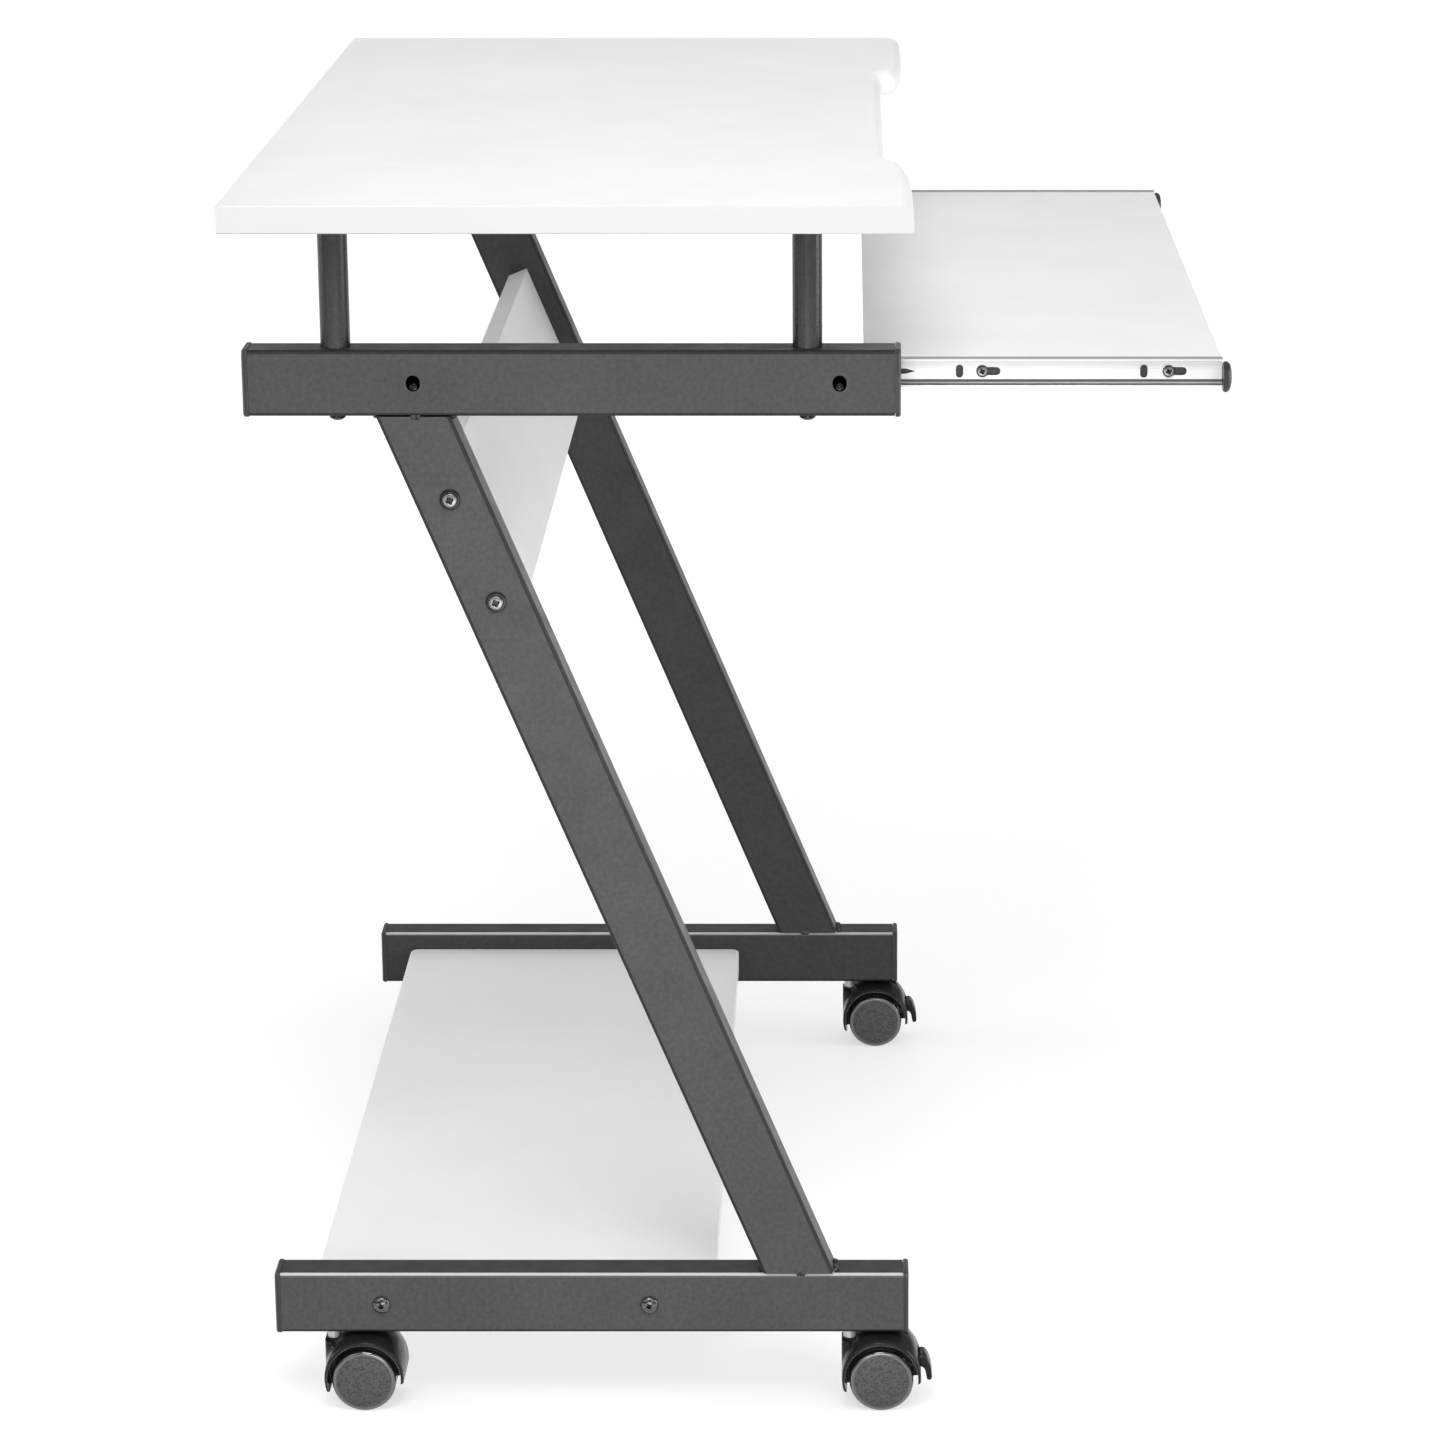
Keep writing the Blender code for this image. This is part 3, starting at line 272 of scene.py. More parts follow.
class Graph:
    """A material's node tree, with short ways to add and join nodes."""

    def __init__(self, name):
        self.material = bpy.data.materials.new(name)
        self.material.use_nodes = True
        self.tree = self.material.node_tree
        self.shader = self.tree.nodes["Principled BSDF"]
        self.where = self.tree.nodes.new("ShaderNodeTexCoord").outputs["Object"]

    def add(self, kind, inputs=None, **settings):
        """Adds a node. An input is a value, a colour or another node's output."""
        node = self.tree.nodes.new(kind)
        for key, value in settings.items():
            setattr(node, key, value)
        for key, value in (inputs or {}).items():
            self.feed(node.inputs[key], value)
        return node

    def feed(self, socket, value):
        """Sets a socket or links an output to it."""
        if isinstance(value, bpy.types.NodeSocket):
            self.tree.links.new(value, socket)
        elif socket.type == "RGBA" and len(value) == 3:
            socket.default_value = (*value, 1.0)
        else:
            socket.default_value = value

    def noise(self, scale, detail=2.0, rough=0.5, where=None):
        """Noise between 0 and 1. The scale is in features for each metre."""
        inputs = {"Vector": where or self.where, "Scale": scale}
        inputs |= {"Detail": detail, "Roughness": rough}
        return self.add("ShaderNodeTexNoise", inputs).outputs["Fac"]

    def cells(self, scale):
        """Distance to the nearest of scattered points."""
        inputs = {"Vector": self.where, "Scale": scale}
        return self.add("ShaderNodeTexVoronoi", inputs).outputs["Distance"]

    def stretch(self, scale):
        """The object's coordinates scaled by axis, for streaks."""
        inputs = {"Vector": self.where, "Scale": scale}
        return self.add("ShaderNodeMapping", inputs).outputs["Vector"]

    def remap(self, value, low, high, start=0.0, end=1.0):
        """Maps low..high to start..end, clamped and smooth."""
        inputs = {"Value": value, "From Min": low, "From Max": high}
        inputs |= {"To Min": start, "To Max": end}
        node = self.add("ShaderNodeMapRange", inputs, interpolation_type="SMOOTHSTEP")
        return node.outputs["Result"]

    def math(self, operation, first, second=None):
        """One arithmetic step."""
        inputs = {0: first} if second is None else {0: first, 1: second}
        return self.add("ShaderNodeMath", inputs, operation=operation).outputs["Value"]

    def mix_values(self, first, first_share, second, second_share):
        """Weighted sum of two values."""
        first_part = self.math("MULTIPLY", first, first_share)
        return self.math("ADD", first_part, self.math("MULTIPLY", second, second_share))

    def normal_parts(self):
        """The surface normal's x, y and z in the world."""
        normal = self.add("ShaderNodeNewGeometry").outputs["Normal"]
        return self.add("ShaderNodeSeparateXYZ", {"Vector": normal}).outputs

    def blend(self, factor, first, second):
        """Mixes two colours."""
        inputs = {"Factor": factor, 6: first, 7: second}
        return self.add("ShaderNodeMix", inputs, data_type="RGBA").outputs[2]

    def axis(self, index):
        """One of the object's coordinates."""
        split = self.add("ShaderNodeSeparateXYZ", {"Vector": self.where})
        return split.outputs[index]

    def edge_mask(self, radius):
        """1 on sharp outer edges and 0 on open faces."""
        rounded = self.add("ShaderNodeBevel", {"Radius": radius}, samples=4).outputs["Normal"]
        flat = self.add("ShaderNodeNewGeometry").outputs["Normal"]
        dot = self.add("ShaderNodeVectorMath", {0: rounded, 1: flat}, operation="DOT_PRODUCT")
        return self.remap(dot.outputs["Value"], 0.99, 0.80)

    def bump(self, height, distance, strength=1.0, normal=None):
        """Turns a height into a normal."""
        inputs = {"Height": height, "Distance": distance, "Strength": strength}
        if normal is not None:
            inputs["Normal"] = normal
        return self.add("ShaderNodeBump", inputs).outputs["Normal"]

    def surface(self, **inputs):
        """Sets the shader's sockets. Underscores stand for spaces."""
        for key, value in inputs.items():
            self.feed(self.shader.inputs[key.replace("_", " ")], value)
        return self.material


# ------------------------------------------------------------------- materials


def board_material(name, node):
    """White melamine board with banded ends, a fine pearl texture and a hairline seam."""
    low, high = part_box(node)
    middle = (low.x + high.x) / 2
    half = (high.x - low.x) / 2
    graph = Graph(name)
    cloud = graph.noise(9.0, 3.0, 0.55)
    speck = graph.noise(900.0, 2.0)
    tone = graph.mix_values(cloud, 0.7, speck, 0.3)
    colour = graph.blend(graph.remap(tone, 0.3, 0.7), WHITE_DARK, WHITE_LIGHT)
    across = graph.math("ABSOLUTE", graph.math("SUBTRACT", graph.axis(0), middle))
    band = graph.remap(across, half - BAND_THICK, half - BAND_THICK + BAND_SOFT)
    seam_from = graph.remap(across, half - SEAM_START, half - SEAM_START + SEAM_SOFT)
    seam = graph.math("SUBTRACT", seam_from, band)
    colour = graph.blend(band, colour, EDGE_BAND)
    colour = graph.blend(graph.math("MULTIPLY", seam, 0.5), colour, SEAM)
    pearl = graph.noise(1500.0, 3.0, 0.6)
    wave = graph.noise(70.0, 2.0)
    normal = graph.bump(pearl, 0.00003, 0.8)
    normal = graph.bump(wave, 0.0002, 0.3, normal)
    rough = graph.remap(graph.noise(35.0, 3.0), 0.3, 0.7, 0.34, 0.44)
    return graph.surface(Base_Color=colour, Roughness=rough, Normal=normal)


def shade_tube(graph, colour):
    """Shading that imitates the photograph's light on a tube.

    The inner and upper faces get painted shade, and so does everything from the upper rail's foot up.
    Each long corner gets a painted line: a painted highlight on the upper corners of the lower rails
    and painted shade everywhere else.
    """
    facing_x, _, facing_z = graph.normal_parts()
    x, z = graph.axis(0), graph.axis(2)
    lower_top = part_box("lower_rail_left")[1].z
    upper_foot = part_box("upper_rail_left")[0].z
    on_lower = graph.remap(z, lower_top + 0.0005, lower_top + 0.0015, 1.0, 0.0)
    # painted shade on everything from the upper rail's foot up
    upper_rail = graph.remap(z, upper_foot - 0.0005, upper_foot + 0.0005, 0.0, UPPER_RAIL_SHADE)
    # painted shade on the inner faces and on the upper faces, more on the lower rails
    outward = graph.math("MULTIPLY", facing_x, graph.math("SIGN", x))
    inner = graph.remap(outward, -0.5, -0.9, 0.0, INNER_SHADE)
    extra = graph.math("MULTIPLY", on_lower, LOWER_RAIL_TOP_SHADE)
    top_shade = graph.math("ADD", TOP_SHADE, extra)
    top = graph.math("MULTIPLY", graph.remap(facing_z, 0.80, 0.97), top_shade)
    for shade in (upper_rail, inner, top):
        colour = graph.blend(shade, colour, PAINT_SHADE)
    # painted line along each long corner: a painted highlight on the lower rails' upper corners,
    # painted shade elsewhere
    sideways = graph.math("ABSOLUTE", facing_x)
    turned = graph.remap(sideways, 0.14, 0.28)
    line = graph.math("SUBTRACT", turned, graph.remap(sideways, 0.955, 0.993))
    painted_highlight = graph.math("MULTIPLY", on_lower, graph.remap(facing_z, 0.2, 0.4))
    tone = graph.blend(painted_highlight, PAINT_SHADE, PAINT_HIGHLIGHT)
    return graph.blend(graph.math("MULTIPLY", line, CORNER_LINE), colour, tone)


def paint_material(name, roughness, shine, dark, light, is_tube):
    """Graphite powder coat with mottling, orange peel, fine grain and paler edges, partly thin paint
    and partly a painted highlight.

    A square tube gets painted shade and painted lines along its corners. Anything else gets painted
    shade where it turns away from the view.
    """
    graph = Graph(name)
    cloud = graph.noise(14.0, 3.0)
    mottle = graph.noise(330.0, 3.0, 0.6)
    fleck = graph.remap(graph.cells(900.0), 0.10, 0.34, 1.0, 0.0)
    tone = graph.mix_values(cloud, 0.35, mottle, 0.65)
    tone = graph.math("ADD", tone, graph.math("MULTIPLY", fleck, 0.10))
    colour = graph.blend(graph.remap(tone, 0.30, 0.76), dark, light)
    patchy = graph.remap(graph.noise(160.0), 0.35, 0.65, 0.2, 1.0)
    # paler edges: thin paint and a painted highlight
    wear_and_highlight = graph.math("MULTIPLY", graph.edge_mask(0.0010), patchy)
    colour = graph.blend(graph.math("MULTIPLY", wear_and_highlight, 0.6), colour, PAINT_WORN_AND_HIGHLIGHT)
    if is_tube:
        colour = shade_tube(graph, colour)
    else:
        # painted shade where the surface turns away from the view
        facing = graph.add("ShaderNodeLayerWeight", {"Blend": 0.5}).outputs["Facing"]
        colour = graph.blend(graph.remap(facing, 0.03, 0.40), colour, PAINT_SHADE)
    normal = graph.bump(graph.noise(620.0, 2.0, 0.5), 0.00012, 0.8)
    normal = graph.bump(graph.noise(2600.0, 2.0, 0.6), 0.00003, 0.8, normal)
    rough = graph.remap(graph.noise(55.0, 4.0), 0.3, 0.7, roughness - 0.05, roughness + 0.07)
    graph.surface(Specular_IOR_Level=shine)
    return graph.surface(Base_Color=colour, Roughness=rough, Normal=normal)


def moulded_material(
    name, roughness, grain_depth, wear_and_highlight, dark=BLACK_DARK, light=BLACK_LIGHT, shine=0.5, ior=1.5
):
    """Black moulded plastic with a fine spark-eroded grain, flow marks and paler edges, partly rubbed
    wear and partly a painted highlight.
    """
    graph = Graph(name)
    cloud = graph.noise(60.0, 3.0)
    colour = graph.blend(graph.remap(cloud, 0.3, 0.7), dark, light)
    patchy = graph.remap(graph.noise(90.0), 0.3, 0.6, 0.5, 1.0)
    # paler edges: rubbed wear and a painted highlight
    rubbed_and_highlight = graph.math("MULTIPLY", graph.edge_mask(0.0005), patchy)
    colour = graph.blend(graph.math("MULTIPLY", rubbed_and_highlight, wear_and_highlight), colour, PLASTIC_RUBBED_AND_HIGHLIGHT)
    grain = graph.noise(2300.0, 3.0, 0.6)
    normal = graph.bump(grain, grain_depth, 0.9)
    rough = graph.remap(graph.noise(140.0, 3.0), 0.3, 0.7, roughness - 0.05, roughness + 0.06)
    graph.surface(Specular_IOR_Level=shine, IOR=ior)
    return graph.surface(Base_Color=colour, Roughness=rough, Normal=normal)


def wheel_material():
    """Charcoal nylon with a coarse leather grain."""
    graph = Graph("wheel_nylon")
    grain = graph.cells(560.0)
    speck = graph.noise(480.0, 3.0, 0.6)
    tone = graph.mix_values(grain, 0.8, speck, 0.5)
    colour = graph.blend(graph.remap(tone, 0.3, 0.8), WHEEL_DARK, WHEEL_LIGHT)
    normal = graph.bump(grain, 0.00016, 0.8)
    normal = graph.bump(speck, 0.00006, 0.8, normal)
    rough = graph.remap(speck, 0.3, 0.7, 0.46, 0.60)
    return graph.surface(Base_Color=colour, Roughness=rough, Normal=normal)


def stem_material():
    """Bright zinc plate with a fine mottle."""
    graph = Graph("stem_zinc")
    mottle = graph.noise(700.0, 4.0, 0.6)
    cloud = graph.noise(30.0, 2.0)
    tone = graph.mix_values(mottle, 0.7, cloud, 0.3)
    colour = graph.blend(graph.remap(tone, 0.3, 0.7), ZINC_DARK, ZINC_LIGHT)
    normal = graph.bump(mottle, 0.00002, 0.5)
    rough = graph.remap(mottle, 0.3, 0.7, 0.26, 0.42)
    return graph.surface(Base_Color=colour, Metallic=0.25, Roughness=rough, Normal=normal)


def slide_material():
    """Pale zinc channel with rolling streaks along y, grease and painted shade inside its flanges, a
    painted shadow line at its top and a painted shade line along its web.
    """
    low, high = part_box("tray_slide_moving_left")
    middle = (low.z + high.z) / 2
    half = (high.z - low.z) / 2
    graph = Graph("slide_zinc")
    line = graph.noise(1.0, 4.0, 0.6, graph.stretch((1600.0, 14.0, 1600.0)))
    cloud = graph.noise(30.0, 2.0)
    tone = graph.mix_values(line, 0.7, cloud, 0.3)
    colour = graph.blend(graph.remap(tone, 0.3, 0.7), ZINC_DARK, ZINC_LIGHT)
    # grease and painted shade on the level faces inside the flanges
    off = graph.math("ABSOLUTE", graph.math("SUBTRACT", graph.axis(2), middle))
    inside = graph.remap(off, half - 0.0005, half - 0.0009)
    upright = graph.math("ABSOLUTE", graph.normal_parts()[2])
    level = graph.remap(upright, 0.4, 0.8)
    smear = graph.remap(graph.noise(220.0, 3.0), 0.25, 0.6, 0.85, 1.0)
    grease_and_shade = graph.math("MULTIPLY", graph.math("MULTIPLY", inside, level), smear)
    colour = graph.blend(grease_and_shade, colour, GREASE_AND_SHADE)
    # painted shadow line along the channel's top edge
    above = graph.math("SUBTRACT", graph.axis(2), middle)
    top_shadow_line = graph.remap(above, half - 0.0006, half - 0.0002)
    colour = graph.blend(graph.math("MULTIPLY", top_shadow_line, 0.7), colour, GREASE_AND_SHADE)
    # painted shade line for the gap between the slide's members
    up = graph.math("SUBTRACT", graph.axis(2), low.z)
    gap_shade_foot = graph.remap(up, GAP_SHADE_LOW, GAP_SHADE_LOW + GAP_SHADE_SOFT)
    gap_shade_head = graph.remap(up, GAP_SHADE_HIGH - GAP_SHADE_SOFT, GAP_SHADE_HIGH)
    gap_shade = graph.math("SUBTRACT", gap_shade_foot, gap_shade_head)
    colour = graph.blend(graph.math("MULTIPLY", gap_shade, 0.9), colour, GREASE_AND_SHADE)
    rough = graph.remap(line, 0.3, 0.7, 0.30, 0.45)
    bumped = graph.bump(line, 0.00002, 0.5)
    return graph.surface(Base_Color=colour, Metallic=0.35, Roughness=rough, Normal=bumped)


def screw_material(name, dark, light, wear_and_highlight, roughness):
    """Plated steel with small blotches, a fine grain and bright edges, partly worn plating and partly
    a painted highlight.
    """
    graph = Graph(name)
    blot = graph.noise(500.0, 4.0, 0.65)
    colour = graph.blend(graph.remap(blot, 0.3, 0.7), dark, light)
    # bright edges: worn plating and a painted highlight
    edge = graph.math("MULTIPLY", graph.edge_mask(0.0004), wear_and_highlight)
    colour = graph.blend(edge, colour, ZINC_DARK)
    normal = graph.bump(graph.noise(3000.0, 3.0), 0.00002, 0.6)
    rough = graph.remap(blot, 0.3, 0.7, roughness - 0.05, roughness + 0.07)
    return graph.surface(Base_Color=colour, Metallic=0.8, Roughness=rough, Normal=normal)


def floor_material():
    """Pale floor with hardly any texture. Its glow rises with the distance from the desk."""
    graph = Graph("floor_paint")
    cloud = graph.noise(3.0, 2.0)
    colour = graph.blend(cloud, FLOOR_COLOUR, FLOOR_COLOUR_LIGHT)
    away = graph.add("ShaderNodeVectorMath", {0: graph.where}, operation="LENGTH").outputs["Value"]
    glow = graph.remap(away, FLOOR_GLOW_START, FLOOR_GLOW_END, FLOOR_GLOW_NEAR, FLOOR_GLOW_FAR)
    graph.surface(Emission_Color=(1.0, 1.0, 1.0), Emission_Strength=glow)
    return graph.surface(Base_Color=colour, Roughness=0.9)


def make_finishes():
    """Every material that more than one piece shares."""
    rim = moulded_material(
        "rim_nylon", 0.14, 0.000006, 0.0, dark=RIM_DARK, light=RIM_LIGHT, shine=1.0, ior=1.75
    )
    return {
        "paint": paint_material("graphite_powder_coat", 0.42, 0.20, PAINT_DARK, PAINT_LIGHT, True),
        "weld": paint_material("graphite_weld_coat", 0.38, 0.25, PAINT_DARK, PAINT_LIGHT, False),
        "post": paint_material("graphite_gloss_coat", 0.24, 0.30, GLOSS_DARK, GLOSS_LIGHT, False),
        "cap": moulded_material("cap_plastic", 0.40, 0.00004, 0.5),
        "hood": moulded_material("hood_plastic", 0.22, 0.000012, 0.9, shine=0.18),
        "wheel": wheel_material(),
        "rim": rim,
        "slide": slide_material(),
        "stem": stem_material(),
        "steel": screw_material("screw_steel", SCREW_DARK, SCREW_LIGHT, 0.8, 0.32),
        "gunmetal": screw_material("screw_gunmetal", GUNMETAL_DARK, GUNMETAL_LIGHT, 0.8, 0.17),
        "bolt": screw_material("bolt_black_steel", BOLT_DARK, BOLT_LIGHT, 0.06, 0.25),
    }


def paint_nodes(finish):
    """Gives every CAD node its finish."""
    prefixes = (
        ("upper_rail", "paint"),
        ("lower_rail", "paint"),
        ("leg", "paint"),
        ("post_bolt", "bolt"),
        ("post", "post"),
        ("end_cap", "cap"),
        ("panel_screw", "steel"),
        ("shelf_screw", "steel"),
        ("tray_slide", "slide"),
        ("tray_bumper", "cap"),
        ("caster_hood", "hood"),
        ("caster_stem", "stem"),
        ("caster_wheel", "wheel"),
        ("brake_lever", "hood"),
    )
    for name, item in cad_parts.items():
        chosen = None
        for prefix, key in prefixes:
            if name.startswith(prefix):
                chosen = finish[key]
                break
        item.data.materials.clear()
        item.data.materials.append(chosen or board_material(f"board_{name}", name))


# ------------------------------------------------------------------ piece tools


def lathe(bm, profile, sides):
    """Solid of revolution about local z from (radius, height) points."""
    rings = []
    for radius, height in profile:
        if radius == 0.0:
            rings.append([bm.verts.new((0.0, 0.0, height))])
            continue
        ring = []
        for i in range(sides):
            angle = 2 * math.pi * i / sides
            spot = (radius * math.cos(angle), radius * math.sin(angle), height)
            ring.append(bm.verts.new(spot))
        rings.append(ring)
    skin(bm, rings)


def skin(bm, rings):
    """Joins rings of vertices and fills both ends. A ring of one vertex is a point."""
    for first, second in zip(rings, rings[1:]):
        count = max(len(first), len(second))
        for i in range(count):
            j = (i + 1) % count
            if len(first) == 1:
                bm.faces.new((first[0], second[i], second[j]))
            elif len(second) == 1:
                bm.faces.new((first[i], first[j], second[0]))
            else:
                bm.faces.new((first[i], first[j], second[j], second[i]))
    for ring in (rings[0], rings[-1]):
        if len(ring) > 1:
            bm.faces.new(ring)


def prism(bm, outline, low, high, taper):
    """Solid with an outline in local x and y between two heights. Taper scales the low end."""
    rings = []
    for height, scale in ((low, taper), (high, 1.0)):
        rings.append([bm.verts.new((a * scale, b * scale, height)) for a, b in outline])
    skin(bm, rings)


def block(bm, low, high):
    """Rectangular solid between two corners."""
    rings = []
    for z in (low[2], high[2]):
        corners = ((low[0], low[1]), (high[0], low[1]), (high[0], high[1]), (low[0], high[1]))
        rings.append([bm.verts.new((x, y, z)) for x, y in corners])
    skin(bm, rings)


def to_mesh(name, bm, materials):
    """Turns a bmesh into a smooth-shaded mesh with sharp creases kept."""
    bmesh.ops.recalc_face_normals(bm, faces=bm.faces)
    mesh = bpy.data.meshes.new(name)
    bm.to_mesh(mesh)
    bm.free()
    mesh.shade_smooth()
    mesh.set_sharp_from_angle(angle=SHARP_ANGLE)
    for material in materials:
        mesh.materials.append(material)
    return mesh


def place(name, mesh, body, at, towards=None):
    """Puts a mesh in the row frame, with its z axis pointing in a direction, on a CAD body."""
    item = bpy.data.objects.new(name, mesh)
    turn = Matrix.Identity(4)
    if towards is not None:
        turn = Vector((0.0, 0.0, 1.0)).rotation_difference(Vector(towards)).to_matrix().to_4x4()
    item.matrix_world = Matrix.Translation(at) @ turn
    bpy.context.scene.collection.objects.link(item)
    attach(item, body)
    return item


def cut_mesh(mesh, tool_bm):
    """Returns the mesh with a closed tool shape cut out of it."""
    tool = bpy.data.objects.new("cutter", to_mesh("cutter", tool_bm, []))
    item = bpy.data.objects.new("blank", mesh)
    for thing in (tool, item):
        bpy.context.scene.collection.objects.link(thing)
    boolean = item.modifiers.new("cut", "BOOLEAN")
    boolean.operation = "DIFFERENCE"
    boolean.solver = "EXACT"
    boolean.object = tool
    depsgraph = bpy.context.evaluated_depsgraph_get()
    result = bpy.data.meshes.new_from_object(item.evaluated_get(depsgraph))
    bpy.data.objects.remove(item)
    bpy.data.objects.remove(tool)
    bm = bmesh.new()
    bm.from_mesh(result)
    bmesh.ops.remove_doubles(bm, verts=bm.verts, dist=WELD_DISTANCE)
    bmesh.ops.dissolve_degenerate(bm, edges=bm.edges, dist=WELD_DISTANCE)
    bm.to_mesh(result)
    bm.free()
    result.shade_smooth()
    result.set_sharp_from_angle(angle=SHARP_ANGLE)
    return result


def arc(centre, radii, start, end, steps):
    """Points of an elliptical arc between two angles in degrees."""
    points = []
    for i in range(steps + 1):
        angle = math.radians(start + (end - start) * i / steps)
        across = centre[0] + radii[0] * math.cos(angle)
        points.append((across, centre[1] + radii[1] * math.sin(angle)))
    return points


# ---------------------------------------------------------------------- screws


def cross_outline(half, arm):
    """Outline of a cross recess with wings that narrow towards their tips."""
    tip = arm * RECESS_TIP
    root = arm * RECESS_ROOT
    points = []
    for quarter in range(4):
        turn = math.pi / 2 * quarter + RECESS_TURN
        cos, sin = math.cos(turn), math.sin(turn)
        for a, b in ((root, -root), (half, -tip), (half, tip)):
            points.append((a * cos - b * sin, a * sin + b * cos))
    return points


def screw_mesh(name, profile, recess, materials, shade_ring_top=None):
    """Screw head with a driver recess. The ring round it and the recess take the second material as
    painted shadow and painted shade.
    """
    bm = bmesh.new()
    lathe(bm, profile, SCREW_SIDES)
    mesh = to_mesh(name, bm, materials)
    top = max(height for _, height in profile)
    half, arm, depth = recess
    tool = bmesh.new()
    prism(tool, cross_outline(half, arm), top - depth, top + OVERSHOOT, RECESS_TAPER)
    mesh = cut_mesh(mesh, tool)
    # the head's foot takes painted shadow and the deep recess painted shade, both in the second
    # material
    if shade_ring_top is not None:
        for face in mesh.polygons:
            from_axis = math.hypot(face.center.x, face.center.y)
            shaded_recess = from_axis < half and face.center.z < top - depth * RECESS_LIP
            if face.center.z < shade_ring_top or shaded_recess:
                face.material_index = 1
    return mesh


def panel_head_profile():
    """Section of a pan head with a thin rounded flange, from the seat out and up."""
    flange, flange_top, lip = 0.00625, 0.0011, 0.0005
    head, shoulder, dome = 0.0043, 0.0026, 0.0009
    points = [(0.0, 0.0), (flange, 0.0)]
    points += arc((flange - lip, flange_top - lip), (lip, lip), 0, 90, 4)
    points += [(head + 0.0003, flange_top), (head, flange_top + 0.0002), (head, shoulder)]
    points += arc((head - dome, shoulder), (dome, dome), 0, 80, 5)
    return points + [(0.0018, 0.00358), (0.0, PANEL_HEAD_HEIGHT)]


def shelf_head_profile():
    """Section of a domed head."""
    head, edge, dome = 0.0057, 0.0003, 0.0031
    points = [(0.0, 0.0), (head, 0.0), (head, edge)]
    points += arc((0.0, edge), (head, dome), 6, 84, 12)
    return points + [(0.0, edge + dome)]


def build_board_screws(steel, gunmetal, black):
    """Flanged pan heads on the legs and domed heads on the lower rails."""
    pan = screw_mesh(
        "panel_screw_head", panel_head_profile(), PANEL_RECESS, [steel, black], PANEL_SHADE_RING_TOP
    )
    cap = screw_mesh(
        "shelf_screw_head", shelf_head_profile(), SHELF_RECESS, [gunmetal, black], SHELF_SHADE_RING_TOP
    )
    for side_name, side in SIDES:
        for kind, mesh, names, lift in (
            ("panel", pan, LEVELS, 0.0),
            ("shelf", cap, ENDS, SHELF_HEAD_LIFT),
        ):
            for where in names:
                node = f"{kind}_screw_{side_name}_{where}"
                low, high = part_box(node)
                middle = (low + high) / 2
                seat = (high.x if side > 0 else low.x) - side * (PANEL_HEAD_HEIGHT - lift)
                at = (seat, middle.y, middle.z)
                item = place(f"{node}_head", mesh, "frame", at, (side, 0, 0))
                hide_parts(node)


# --------------------------------------------------------------------- casters


def oval_reach(angle, rise, power):
    """Distance from the hood's centre to an oval skin at an angle."""
    across = abs(math.cos(angle)) / HOOD_REACH
    up = abs(math.sin(angle)) / rise
    return (across**power + up**power) ** (-1.0 / power)


def ease(value):
    """Clamps to 0..1 with smooth ends."""
    value = min(max(value, 0.0), 1.0)
    return value * value * (3 - 2 * value)


def hood_reach(angle, x, half, ahead):
    """Distance from the hood's centre to its skin. The axle stands ahead of the stem."""
    side = oval_reach(angle, HOOD_SIDE_RISE, 2.0)
    crown = oval_reach(angle, HOOD_CROWN_RISE, 2.5)
    reach = side + (crown - side) * (1 - (x / half) ** 2)
    start = math.pi - math.atan2(BOSS_TOP_Z - HOOD_Z, ahead - BOSS_FRONT)
    if angle >= start and math.sin(angle) > 0.0:
        back = (ahead + BOSS_BACK) / max(-math.cos(angle), 0.001)
        top = (BOSS_TOP_Z - HOOD_Z) / max(math.sin(angle), 0.001)
        blend = ease((BOSS_END_X - abs(x)) / (BOSS_END_X - BOSS_FULL_X))
        reach = reach * (1 - blend) + min(back, top) * blend
    from_tip = min(angle - HOOD_FRONT_TIP, HOOD_REAR_TIP - angle)
    if from_tip < HOOD_TIP_ROUND:
        short = 1 - from_tip / HOOD_TIP_ROUND
        reach -= HOOD_TIP_DROP * (1 - math.sqrt(max(0.0, 1 - short * short)))
    return reach


def hood_angles(ahead):
    """Angles round the hood, closer together at its tips and at the stem's block."""
    start = math.pi - math.atan2(BOSS_TOP_Z - HOOD_Z, ahead - BOSS_FRONT)
    corner = math.pi - math.atan2(BOSS_TOP_Z - HOOD_Z, ahead + BOSS_BACK)
    front = HOOD_FRONT_TIP + HOOD_TIP_ROUND
    rear = HOOD_REAR_TIP - HOOD_TIP_ROUND
    angles = []
    for low, high, steps in (  # stretches, with a small gap between one and the next
        (HOOD_FRONT_TIP, front, 5),
        (front + 0.04, start - 0.03, 34),
        (start, corner - 0.02, 5),
        (corner, math.pi, 9),
        (math.pi + 0.05, rear, 4),
        (rear + 0.01, HOOD_REAR_TIP, 5),
    ):
        angles += [low + (high - low) * i / steps for i in range(steps + 1)]
    return angles


def hood_rows(half):
    """Sideways positions across the hood, each with how far the skin drops there."""
    rows = []
    for i in range(HOOD_LIP_STEPS + 1):
        turn = math.pi / 2 * i / HOOD_LIP_STEPS
        x = half - HOOD_LIP_IN * (1 - math.cos(turn))
        rows.append((x, HOOD_LIP_DROP * (1 - math.sin(turn))))
    rows += [(x, 0.0) for x in BESIDE_BOSS + ACROSS_BOSS]
    return rows + [(-x, drop) for x, drop in reversed(rows)]


def hood_blank(half, ahead):
    """Hood before its wells are cut. The stem stands at local x = y = 0."""
    bm = bmesh.new()
    rings = []
    for x, drop in hood_rows(half):
        ring = []
        for angle in hood_angles(ahead):
            reach = hood_reach(angle, x, half, ahead) - drop
            y = -(ahead + reach * math.cos(angle))
            ring.append(bm.verts.new((x, y, HOOD_Z + reach * math.sin(angle))))
        rings.append(ring)
    skin(bm, rings)
    return bm


